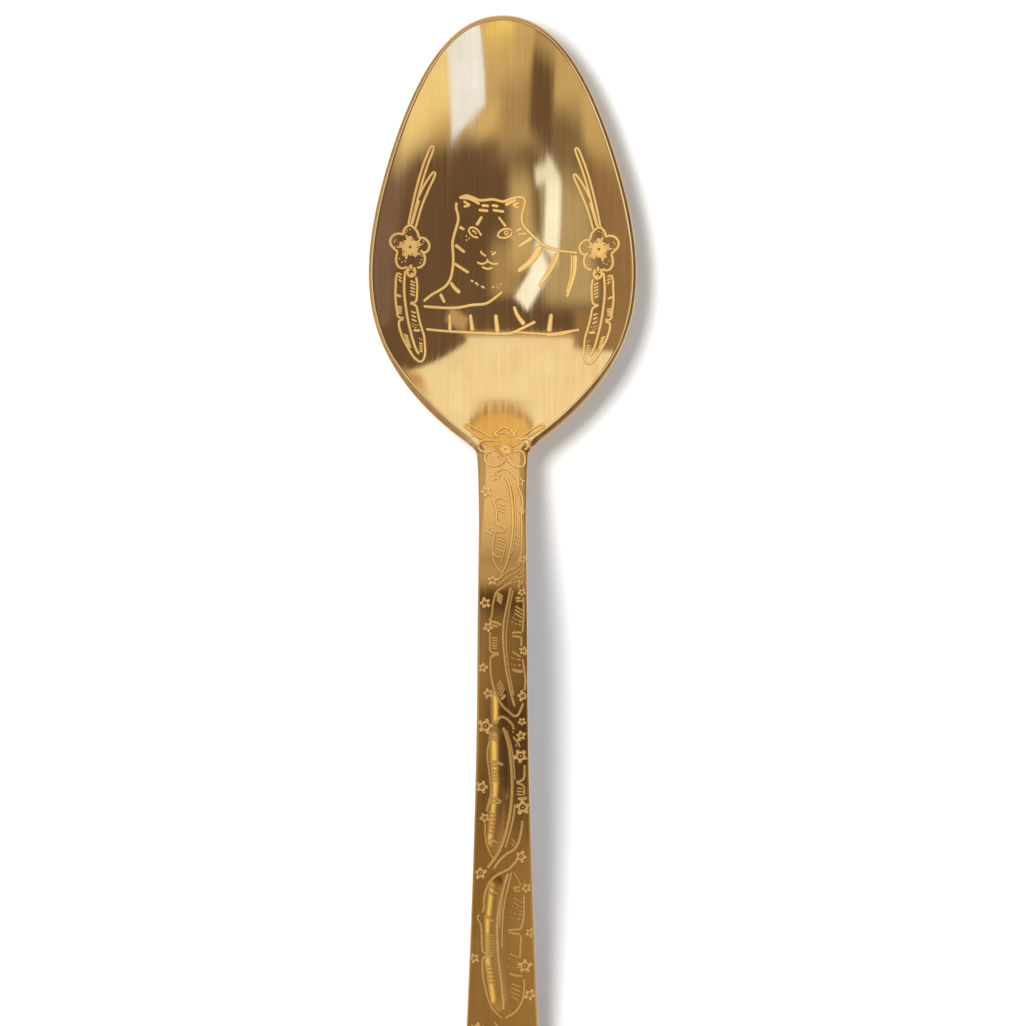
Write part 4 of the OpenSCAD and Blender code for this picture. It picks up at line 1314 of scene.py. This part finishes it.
    def leaf_c(self, node: str = "handle_leaf_3", placement: Placement = Placement()) -> Relief:
        """Draws the third leaf, which the fifth repeats.

        Args:
            node: The node that the lines belong to.
            placement: Where the drawing lands.

        Returns:
            The drawing.
        """
        relief = Relief(node, self.form, placement)
        relief.line((-0.8, -10.5), (-0.6, -10.1), (-0.2, -9.68), (0.25, -9.75), (0.8, -10.15),
                    (1.15, -10.6), (1.3, -11.1), width=0.25)
        relief.line((0.1, -10.85), (0.45, -11.9), (0.75, -13.1), (0.95, -14.6), (1.07, -16.3), (1.1, -17.8),
                    (1.0, -19.4), (0.8, -20.9), (0.5, -22.3), (0.1, -23.7), (-0.4, -24.9), (-1.0, -25.9),
                    (-1.7, -26.8), width=0.32, beads=0.1)
        relief.line((1.4, -19.6), (1.25, -20.9), (1.0, -22.1), (0.7, -23.2), (0.3, -24.5), width=0.2,
                    beads=0.1)
        relief.line((0.45, -11.2), (0.85, -12.4), (1.15, -13.8), (1.32, -15.4), (1.4, -16.8),
                    width=self.thin)
        relief.line((2.5, -15.1), (2.5, -15.9), (2.4, -16.65), (2.0, -16.95), (1.55, -17.05), width=0.22)
        relief.line((1.6, -17.15), (2.2, -17.35), (2.45, -17.6), (2.42, -18.5), width=0.22)
        relief.line((1.7, -18.95), (2.8, -18.88), width=0.32)
        relief.line((2.25, -21.4), (2.15, -22.4), (1.95, -23.4), (1.65, -24.25), (1.2, -24.8), (0.5, -25.2),
                    (-0.15, -25.75), (-0.6, -26.3), (-1.0, -26.9), width=0.27)
        relief.line((-1.4, -12.3), (-1.65, -13.3), (-1.7, -14.2), (-1.58, -15.2), (-1.42, -16.4),
                    (-1.25, -17.6), (-1.3, -18.3), (-1.5, -19.2), (-1.8, -20.4), width=self.edge_width)
        relief.line((-1.95, -21.7), (-1.95, -22.7), (-1.82, -23.7), (-1.55, -24.7), (-1.15, -25.5),
                    (-0.85, -25.95), width=0.24)
        relief.line((-1.45, -14.75), (-0.7, -14.82), (0.1, -15.1), width=0.28)
        relief.line((-1.35, -15.15), (-0.6, -15.3), width=0.2)
        relief.line((-1.3, -18.9), (-0.7, -18.95), (-0.1, -19.3), width=0.26)
        relief.line((-0.25, -19.42), (-0.9, -19.4), (-1.45, -19.35), width=0.22)
        relief.line((-1.55, -23.7), (-1.0, -23.72), (-0.6, -23.9), width=0.26)
        relief.line((-1.45, -24.1), (-0.95, -24.35), width=0.2)
        relief.hatch([(-1.35, -15.6), (-0.5, -15.9)], [(-1.2, -16.8), (-0.35, -17.1)], 4)
        relief.hatch([(-1.6, -20.4), (-0.7, -20.9)], [(-1.6, -22.7), (-0.9, -23.1)], 6)
        relief.hatch([(1.65, -17.75), (2.3, -17.8)], [(1.6, -18.45), (2.3, -18.5)], 3)
        relief.line((-1.5, -11.5), (-0.5, -12.2), width=self.thin)
        relief.line((-1.4, -11.9), (-0.6, -12.5), width=self.thin)
        return relief

    def leaf_d(self) -> Relief:
        """Draws the fourth leaf and its stem."""
        relief = Relief("handle_leaf_4", self.form)
        relief.line((1.65, -25.9), (1.2, -26.45), (0.7, -26.95), (0.0, -27.3), (-0.8, -27.75),
                    (-1.4, -28.35), (-1.85, -29.3), (-2.1, -30.3), (-2.08, -31.2), (-2.3, -31.9),
                    width=0.27)
        relief.line((-2.65, -32.1), (-2.82, -32.5), (-2.5, -33.1), (-2.38, -34.0), (-2.35, -35.2),
                    (-2.25, -36.45), width=0.24)
        relief.line((-2.2, -36.5), (-1.7, -36.5), (-1.05, -36.55), width=0.22)
        relief.line((-1.1, -36.75), (-1.7, -36.95), (-2.2, -37.1), (-2.3, -37.9), (-2.22, -39.2),
                    (-2.0, -40.2), (-1.6, -41.8), (-1.0, -43.0), (0.0, -44.0), width=0.24)
        relief.line((0.65, -27.4), (0.3, -28.4), (-0.02, -29.6), (-0.32, -30.8), (-0.55, -32.1),
                    (-0.65, -33.6), (-0.6, -35.3), (-0.52, -36.8), (-0.35, -38.2), (-0.15, -39.8),
                    (0.0, -41.4), (0.1, -43.0), width=0.32, beads=0.1)
        relief.line((1.0, -27.3), (0.72, -28.5), (0.45, -29.6), (0.2, -30.8), (0.05, -32.2), (-0.05, -34.0),
                    (-0.08, -35.9), width=0.2, beads=0.1)
        relief.line((1.3, -27.3), (1.65, -27.85), (1.95, -28.4), (2.1, -28.8), width=0.22)
        relief.line((2.0, -28.95), (1.2, -29.15), width=0.3)
        relief.line((1.3, -29.42), (2.1, -29.38), width=0.24)
        relief.line((2.4, -29.8), (2.42, -31.0), (2.38, -32.3), (2.22, -33.2), (2.05, -33.7), (1.3, -33.85),
                    (0.6, -33.9), width=0.24)
        relief.line((0.7, -34.1), (1.4, -34.3), (2.02, -34.42), (2.03, -35.4), (1.95, -37.1), width=0.24)
        relief.line((2.4, -39.4), (2.45, -40.4), (2.2, -42.0), (1.5, -43.2), (0.3, -44.0), width=0.24)
        relief.hatch([(1.25, -30.15), (2.3, -30.8)], [(1.2, -30.65), (2.3, -31.35)], 2)
        relief.dots((1.15, -31.15), (1.6, -31.35), (0.95, -31.8), (1.35, -31.95), (0.85, -32.4),
                    (1.25, -32.58))
        relief.lines([(1.9, -31.6), (2.25, -31.82)], [(1.8, -32.12), (2.2, -32.15)],
                     [(1.65, -32.6), (2.1, -32.6)], [(0.8, -36.55), (1.85, -37.05)], width=0.17)
        relief.dots((0.75, -37.2), (1.15, -37.3), (1.6, -37.45), (1.85, -37.75), (0.65, -38.1), (1.1, -38.2))
        relief.line((1.6, -38.2), (2.1, -38.12), width=0.18)
        relief.line((0.75, -38.8), (1.5, -39.05), (2.3, -39.1), width=0.34)
        relief.hatch([(1.0, -40.0), (2.1, -40.4)], [(1.0, -41.5), (1.9, -41.9)], 4)
        relief.line((-1.4, -28.8), (-0.6, -29.8), width=0.2)
        relief.line((-1.6, -29.4), (-0.9, -30.2), width=0.16)
        relief.line((-2.05, -32.35), (-1.5, -32.55), (-1.0, -32.9), width=0.34)
        relief.hatch([(-2.05, -34.4), (-1.05, -34.45)], [(-1.95, -36.1), (-1.0, -36.2)], 6)
        relief.hatch([(-1.95, -38.0), (-1.0, -38.3)], [(-1.75, -39.8), (-0.8, -40.1)], 5)
        return relief

    def leaf_e(self) -> Relief:
        """Draws the fifth leaf: the third again, wider, where the handle is wider."""
        return self.leaf_c("handle_leaf_5", Placement(1.35, 0.95, 0.0, -36.3))

    def twigs(self) -> Relief:
        """Draws the twigs and buds between the leaves."""
        relief = Relief("handle_twigs", self.form)
        relief.line((2.05, 7.9), (1.85, 7.45), (1.4, 7.12), (0.9, 6.92), (0.45, 6.62), (0.0, 6.3),
                    (-0.3, 5.95), (-0.5, 5.75), width=0.24)
        relief.line((2.15, 7.2), (1.7, 6.75), (1.1, 6.45), (0.6, 6.1), (0.1, 5.7), (-0.3, 5.35),
                    (-0.6, 5.1), width=0.17)
        relief.line((2.15, 6.9), (1.98, 6.3), width=0.18)
        relief.line((1.35, 6.2), (1.9, 6.05), (2.4, 6.25), width=0.26)
        relief.line((1.75, 5.8), (1.95, 5.4), (1.8, 4.8), width=0.34, tail=0.22)
        relief.line((2.3, 5.75), (2.15, 5.2), width=0.22)
        relief.dots((1.5, 5.55), (2.35, 4.95), (2.0, 5.95), width=0.22)
        relief.line((1.2, -11.9), (1.6, -12.4), (2.0, -13.1), width=0.2)
        relief.line((1.6, -12.35), (2.1, -12.3), width=0.17)
        relief.dots((1.2, -11.35), (1.55, -12.9), (1.85, -12.75), width=0.2)
        relief.line((1.0, -23.4), (1.55, -24.1), width=0.17)
        relief.line((1.0, -23.95), (1.4, -24.4), width=0.17)
        relief.line((-0.9, -44.4), (-0.5, -44.9), (0.3, -45.2), (1.1, -45.0), width=0.24)
        relief.line((-0.5, -44.9), (-0.9, -45.3), width=0.17)
        relief.line((0.3, -45.2), (0.6, -45.6), width=0.17)
        return relief

    def blossoms(self) -> Relief:
        """Draws the small blossoms beside the leaves."""
        relief = Relief("handle_blossoms", self.form)
        for i, (x, y, size) in enumerate(self.small_blossoms):
            r = size * self.blossom_growth
            lean = 90 + self.lean_step * i
            for petal in range(self.petals):
                way = math.radians(lean + 360 / self.petals * petal)
                out = Vector((math.cos(way), math.sin(way))) * r
                ends = (self.lobe_from, self.lobe_ends[(petal + i) % 2])
                relief.line(*(tuple(Vector((x, y)) + end * out) for end in ends), width=self.lobe_width * r)
            relief.ring((x, y), 0.48 * r, 0.24 * r)
            relief.dots((x, y), width=0.2 * r)
        return relief

    def end_blossom(self) -> Relief:
        """Draws the large blossom at the handle's end."""
        relief = Relief("end_blossom", self.form)
        x, y, r = 0.0, -65.5, 2.3
        for petal in range(5):
            way = 90 + 72 * petal
            centre = (x + 0.62 * r * math.cos(math.radians(way)), y + 0.62 * r * math.sin(math.radians(way)))
            relief.line(*arc(centre, 0.42 * r, way - 120, way + 120, 15), width=0.34)
        for i in range(20):
            turn = math.tau * i / 20
            way = Vector((math.cos(turn), math.sin(turn)))
            reach = 1.2 if i % 2 else 0.9
            relief.line(tuple(Vector((x, y)) + 0.25 * way), tuple(Vector((x, y)) + reach * way), width=0.15)
            if i % 2:
                relief.dots(tuple(Vector((x, y)) + 1.45 * way), width=0.17)
        relief.ring((x, y), 0.2, 0.16)
        return relief


# --------------------------------------------------------------------------- the studio


@dataclass(frozen=True)
class Panel:
    """A pale or dark panel of the room, given by the slope of a mirror that shows it from above.

    The slopes are the ones that a surface has across the spoon and along it, so that a panel's
    place and size say directly which part of the bowl it shows in.
    """

    name: str
    across: float
    along: float
    half_across: float
    half_along: float
    colour: tuple[float, float, float]
    turn: float = 0.0
    soft: float = 0.05
    soft_end: float = 0.05
    oval: bool = False


class Room:
    """The dim room around the table, with its panels, as the world's shader."""

    def __init__(self, dim: tuple[float, float, float]) -> None:
        """Starts the shader.

        Args:
            dim: The colour of the room where there is no panel.
        """
        world = bpy.data.worlds.new("dim_room")
        world.use_nodes = True
        bpy.context.scene.world = world
        self.nodes, self.links = world.node_tree.nodes, world.node_tree.links
        self.glow = self.nodes["Background"]
        view = self.nodes.new("ShaderNodeTexCoord")
        split = self.nodes.new("ShaderNodeSeparateXYZ")
        self.links.new(view.outputs["Generated"], split.inputs[0])
        lift = self._math("MAXIMUM", self._math("ADD", split.outputs["Z"], 1.0), 0.05)
        self.across = self._math("DIVIDE", split.outputs["X"], lift)
        self.along = self._math("DIVIDE", split.outputs["Y"], lift)
        base = self.nodes.new("ShaderNodeRGB")
        base.outputs[0].default_value = (*dim, 1)
        self.sum = base.outputs[0]

    def _math(
        self, operation: str, first: bpy.types.NodeSocket | float, second: bpy.types.NodeSocket | float
    ) -> bpy.types.NodeSocket:
        """Adds a math node.

        Args:
            operation: What it does.
            first: Its first value or source.
            second: Its second value or source.

        Returns:
            Its result.
        """
        node = self.nodes.new("ShaderNodeMath")
        node.operation = operation
        for socket, value in zip(node.inputs, (first, second)):
            if isinstance(value, float):
                socket.default_value = value
            else:
                self.links.new(value, socket)
        return node.outputs[0]

    def _fade(self, source: bpy.types.NodeSocket, half: float, soft: float) -> bpy.types.NodeSocket:
        """1 inside a panel's half size, and softly 0 outside it."""
        node = self.nodes.new("ShaderNodeMapRange")
        node.interpolation_type = "SMOOTHERSTEP"
        node.inputs["From Min"].default_value = half + soft
        node.inputs["From Max"].default_value = half - soft
        self.links.new(self._math("ABSOLUTE", source, 0.0), node.inputs["Value"])
        return node.outputs["Result"]

    def add(self, panel: Panel) -> None:
        """Hangs a panel in the room.

        Args:
            panel: The panel.
        """
        cos, sin = math.cos(math.radians(panel.turn)), math.sin(math.radians(panel.turn))
        u = self._math("SUBTRACT", self.across, panel.across)
        v = self._math("SUBTRACT", self.along, panel.along)
        wide = self._math("ADD", self._math("MULTIPLY", u, cos), self._math("MULTIPLY", v, sin))
        tall = self._math("SUBTRACT", self._math("MULTIPLY", v, cos), self._math("MULTIPLY", u, sin))
        if panel.oval:
            wide = self._math("POWER", self._math("DIVIDE", wide, panel.half_across), 2.0)
            tall = self._math("POWER", self._math("DIVIDE", tall, panel.half_along), 2.0)
            mask = self._fade(self._math("SQRT", self._math("ADD", wide, tall), 0.0), 1.0, panel.soft)
        else:
            mask = self._math(
                "MULTIPLY",
                self._fade(wide, panel.half_across, panel.soft),
                self._fade(tall, panel.half_along, panel.soft_end),
            )
        mix = self.nodes.new("ShaderNodeMix")
        mix.data_type = "RGBA"
        mix.label = panel.name
        self.links.new(mask, mix.inputs["Factor"])
        self.links.new(self.sum, mix.inputs["A"])
        mix.inputs["B"].default_value = (*panel.colour, 1)
        self.sum = mix.outputs["Result"]

    def finish(self, ambient: tuple[float, float, float]) -> None:
        """Shows the panels in reflections only, and lights everything else evenly.

        Args:
            ambient: The even light, chosen apart from the panels.
        """
        self.links.new(self.sum, self.glow.inputs["Color"])
        even = self.nodes.new("ShaderNodeBackground")
        even.inputs["Color"].default_value = (*ambient, 1)
        ray = self.nodes.new("ShaderNodeLightPath")
        mix = self.nodes.new("ShaderNodeMixShader")
        self.links.new(ray.outputs["Is Glossy Ray"], mix.inputs[0])
        self.links.new(even.outputs[0], mix.inputs[1])
        self.links.new(self.glow.outputs[0], mix.inputs[2])
        self.links.new(mix.outputs[0], self.nodes["World Output"].inputs["Surface"])


@dataclass
class Studio:
    """The pale table, the key light, the room and the camera straight above."""

    centre: Point = (1.19, 13.4)
    rim_height: float = 8.4
    frame_width: float = 116.6
    lens: float = 600.0
    sensor: float = 36.0
    bowl: Vector = field(default_factory=lambda: Vector((0, 0.03, 0.0)))
    key_tilt: float = 15.0
    key_bearing: float = -60.0
    key_distance: float = 0.6
    key_size: float = 0.13
    key_power: float = 3.0
    dim: tuple[float, float, float] = (0.15, 0.108, 0.09)
    ambient: tuple[float, float, float] = (0.5, 0.53, 0.57)
    panels: tuple[Panel, ...] = (
        Panel("right_glow", -0.5, 0.0, 0.2, 0.2, (0.5, 0.45, 0.37), 0.0, 0.07, 0.08),
        Panel("right_wall", -0.95, -0.05, 0.22, 0.6, (0.32, 0.235, 0.175), 0.0, 0.1, 0.1),
        Panel("left_wall", 0.95, -0.1, 0.15, 0.55, (0.22, 0.165, 0.19), 0.0, 0.05, 0.1),
        Panel("middle_glow", -0.03, 0.06, 0.12, 0.1, (0.44, 0.36, 0.27), 0.0, 0.06, 0.05),
        Panel("middle_dim", -0.15, -0.08, 0.09, 0.1, (0.6, 0.53, 0.4), 0.0, 0.07, 0.06),
        Panel("near_wall", 0.0, -0.75, 1.1, 0.5, (0.62, 0.54, 0.38), 0.0, 0.1, 0.035),
        Panel("near_middle", -0.16, -0.3, 0.2, 0.07, (0.44, 0.36, 0.27), 6.0, 0.1, 0.06),
        Panel("near_bright", 0.03, -0.6, 0.13, 0.15, (1.05, 0.95, 0.5), 0.0, 0.06, 0.07),
        Panel("near_gold", 0.12, -0.285, 0.09, 0.02, (0.74, 0.62, 0.42), 12.0, 0.08, 0.03),
        Panel("near_right", 0.66, -0.36, 0.22, 0.085, (0.95, 0.9, 0.68), 8.0, 0.06, 0.04),
        Panel("near_left_low", -0.52, -0.27, 0.18, 0.04, (0.22, 0.17, 0.13), 0.0, 0.07, 0.045),
        Panel("near_left_dark", -0.35, -0.325, 0.1, 0.085, (0.15, 0.11, 0.09), -12.0, 0.03, 0.035),
        Panel("white_board", 0.315, -0.365, 0.15, 0.085, (0.95, 1.22, 2.25), 13.0, 0.012, 0.012),
        Panel("far_wall", -0.1, 0.965, 1.1, 0.6, (0.98, 0.98, 0.98), 0.0, 0.15, 0.008),
        Panel("far_left_low", -0.82, 0.36, 0.3, 0.1, (0.33, 0.24, 0.18), -8.0, 0.03, 0.03),
        Panel("far_shadow", 0.741, 0.418, 0.46, 0.16, (0.15, 0.11, 0.09), 23.2, 0.02, 0.012),
        Panel("far_corner", 0.7, 0.61, 0.1, 0.04, (0.6, 0.42, 0.28), 0.0, 0.05, 0.03),
        Panel("far_foot", -0.12, 0.352, 0.4, 0.01, (0.66, 0.5, 0.36), 0.0, 0.04, 0.006),
        Panel("amber_rim", 0.01, 0.645, 0.29, 0.07, (0.42, 0.27, 0.12), soft=0.03, oval=True),
        Panel("amber", 0.01, 0.651, 0.26, 0.063, (0.84, 0.6, 0.28), soft=0.05, oval=True),
        Panel("strip_upper", -0.225, 0.093, 0.062, 0.14, (1.1, 1.35, 2.0), -39.0, 0.012, 0.02),
        Panel("strip_lower", -0.395, -0.11, 0.055, 0.1, (1.1, 1.35, 2.0), -22.0, 0.012, 0.012),
        Panel("strip_foot", -0.35, -0.185, 0.08, 0.018, (1.0, 1.2, 1.6), 8.0, 0.015, 0.01),
        Panel("low_patch", 0.33, 0.28, 0.075, 0.04, (0.55, 0.42, 0.32), -25.0, 0.02, 0.015),
    )

    def _table(self) -> None:
        """Adds the table top."""
        deselect()
        bpy.ops.mesh.primitive_plane_add(size=3, location=(0, 0, 0))
        table = bpy.context.object
        table.name = "table_top"
        paper = bpy.data.materials.new("white_paper")
        paper.use_nodes = True
        nodes, links = paper.node_tree.nodes, paper.node_tree.links
        shader = nodes["Principled BSDF"]
        shader.inputs["Base Color"].default_value = (0.9, 0.9, 0.9, 1)
        shader.inputs["Roughness"].default_value = 0.9
        shader.inputs["Specular IOR Level"].default_value = 0.1
        fibre = nodes.new("ShaderNodeTexNoise")
        fibre.inputs["Scale"].default_value = 900
        bump = nodes.new("ShaderNodeBump")
        bump.inputs["Distance"].default_value = 0.00001
        links.new(fibre.outputs["Fac"], bump.inputs["Height"])
        links.new(bump.outputs["Normal"], shader.inputs["Normal"])
        table.data.materials.append(paper)

    def _camera(self) -> None:
        """Adds the camera, looking straight down."""
        distance = self.frame_width * self.lens / self.sensor
        place = Vector((*self.centre, self.rim_height + distance)) * MM
        bpy.ops.object.camera_add(location=place, rotation=(0, 0, 0))
        camera = bpy.context.object
        camera.data.lens = self.lens
        camera.data.sensor_width = self.sensor
        camera.data.clip_start = 0.01
        bpy.context.scene.camera = camera

    def _key(self) -> None:
        """Adds the key light, which is kept out of reflections."""
        tilt, bearing = math.radians(self.key_tilt), math.radians(self.key_bearing)
        way = Vector((math.sin(tilt) * math.sin(bearing), math.sin(tilt) * math.cos(bearing), math.cos(tilt)))
        bpy.ops.object.light_add(type="AREA", location=self.bowl + way * self.key_distance)
        light = bpy.context.object
        light.name = "key"
        light.data.size = self.key_size
        light.data.energy = self.key_power
        light.rotation_euler = way.to_track_quat("Z", "Y").to_euler()
        light.visible_glossy = False

    def build(self) -> None:
        """Sets up the table, the camera, the light and the room."""
        self._camera()
        self._table()
        self._key()
        room = Room(self.dim)
        for panel in self.panels:
            room.add(panel)
        room.finish(self.ambient)
        bpy.context.scene.view_settings.view_transform = "Standard"


# --------------------------------------------------------------------------- the spoon


@dataclass
class Spoon:
    """The whole teaspoon: the blank in two regions and the struck lines on it."""

    form: SpoonForm
    shades: Shades
    ground: Gilt = Gilt("polished_gilt", (0.83, 0.57, 0.24), (0.97, 0.7, 0.33), 0.05, 0.13, 0.000004)
    # Painted shade: the handle's gold is deeper and more orange than the bowl's, and deepens further below
    # the neck.
    strip: Gilt = Gilt(
        "handle_gilt", (0.74, 0.41, 0.12), (0.89, 0.53, 0.19), 0.12, 0.24, 0.0000035,
        # The edge colour is a painted highlight: the pale band on the flanks of the domed leaf fields.
        edge=(0.85, 0.5, 0.1), edge_metallic=0.3, painted_shade_below_neck=0.66,
    )
    # Painted shade: the handle's rounded edge band is a darker copy of its gold.
    strip_edge: Gilt = Gilt("shaded_handle_edge", (0.6, 0.34, 0.12), (0.72, 0.43, 0.17), 0.28, 0.4, 0.000002)
    # Painted highlight: a pale, half-metallic line along the inner crease of the bowl's rim.
    rim_highlight: Gilt = Gilt(
        "painted_rim_highlight", (0.92, 0.6, 0.24), (1.0, 0.7, 0.3), 0.3, 0.4, 0.000001, Brush.SATIN, 0.5
    )
    # Painted shade: the bowl's rounded rim band is a darker, redder copy of its gold.
    rim: Gilt = Gilt("shaded_rim_band", (0.7, 0.42, 0.17), (0.82, 0.53, 0.23), 0.28, 0.4, 0.000002)
    # The edge colours of the struck finishes are painted shade on the sides of their ridges.
    satin: Gilt = Gilt(
        "struck_satin", (0.9, 0.54, 0.17), (0.96, 0.64, 0.23), 0.3, 0.42, 0.000001, Brush.SATIN, 0.35,
        (0.36, 0.18, 0.05),
    )
    # The handle's struck lines take the painted shade below the neck too.
    vine: Gilt = Gilt(
        "struck_gilt", (0.94, 0.52, 0.14), (1.0, 0.64, 0.21), 0.24, 0.34, 0.0000004, Brush.SATIN, 0.65,
        (0.3, 0.14, 0.04), painted_shade_below_neck=0.66,
    )
    bloom: Gilt = Gilt(
        "struck_bloom", (0.9, 0.52, 0.16), (1.0, 0.64, 0.23), 0.18, 0.28, 0.0000004, Brush.SATIN, 0.65,
        (0.3, 0.14, 0.04), painted_shade_below_neck=0.85,
    )

    def _finished(
        self, piece: bpy.types.Object, materials: list[bpy.types.Material], node: str
    ) -> None:
        """Dresses a piece and puts it in its node's place.

        Args:
            piece: The finished mesh.
            materials: Its materials, in the order of its faces' numbers.
            node: The node that it stands for.
        """
        numbers = [polygon.material_index for polygon in piece.data.polygons]
        piece.data.materials.clear()
        for material in materials:
            piece.data.materials.append(material)
        piece.data.polygons.foreach_set("material_index", numbers)
        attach(piece, "root")
        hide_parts(node)
        log.info("%s stands for %s: %d faces", piece.name, node, len(piece.data.polygons))

    def build(self) -> None:
        """Builds every piece."""
        bowl = Blank(self.form, Region.BOWL, 57.0, 0.25, 90, 64, 40).build()
        handle = Blank(self.form, Region.HANDLE, -66.0, 0.25, 40, 26, 10).build()
        rim = self.rim.material(self.shades)
        rim_highlight = self.rim_highlight.material(self.shades)
        self._finished(bowl, [self.ground.material(self.shades), rim, rim_highlight], "bowl")
        strip_edge = self.strip_edge.material(self.shades)
        strip = [self.strip.material(self.shades), strip_edge, strip_edge]
        self._finished(handle, strip, "handle")
        satin, vine, bloom = (gilt.material(self.shades) for gilt in (self.satin, self.vine, self.bloom))
        for relief in self._reliefs():
            on_bowl = relief.node.startswith(("tiger", "left", "right"))
            finish = bloom if relief.node == "handle_blossoms" else satin if on_bowl else vine
            self._finished(relief.build(), [finish], relief.node)

    def _reliefs(self) -> list[Relief]:
        """Draws everything that is struck into the spoon.

        Returns:
            One drawing for each node.
        """
        tiger = Tiger(self.form)
        left = Sprig("left", self.form, Placement())
        right = Sprig("right", self.form, Placement(-1.0, 1.0, 0.45, -0.25))
        neck = NeckFlower(self.form)
        vine = HandleVine(self.form)
        drawings = [tiger.outline(), tiger.face(), tiger.stripes(), tiger.paws()]
        for sprig in (left, right):
            drawings += [sprig.needles(), sprig.blossom(), sprig.leaf()]
        drawings += [neck.needles(), neck.blossom()]
        drawings += [vine.leaf_a(), vine.leaf_b(), vine.leaf_c(), vine.leaf_d(), vine.leaf_e()]
        return drawings + [vine.twigs(), vine.blossoms(), vine.end_blossom()]


def main() -> None:
    """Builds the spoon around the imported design."""
    logging.basicConfig(level=logging.INFO, format="%(name)s: %(message)s")
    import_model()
    Studio().build()
    Spoon(SpoonForm(), Shades()).build()


if __name__ == "__main__":
    main()
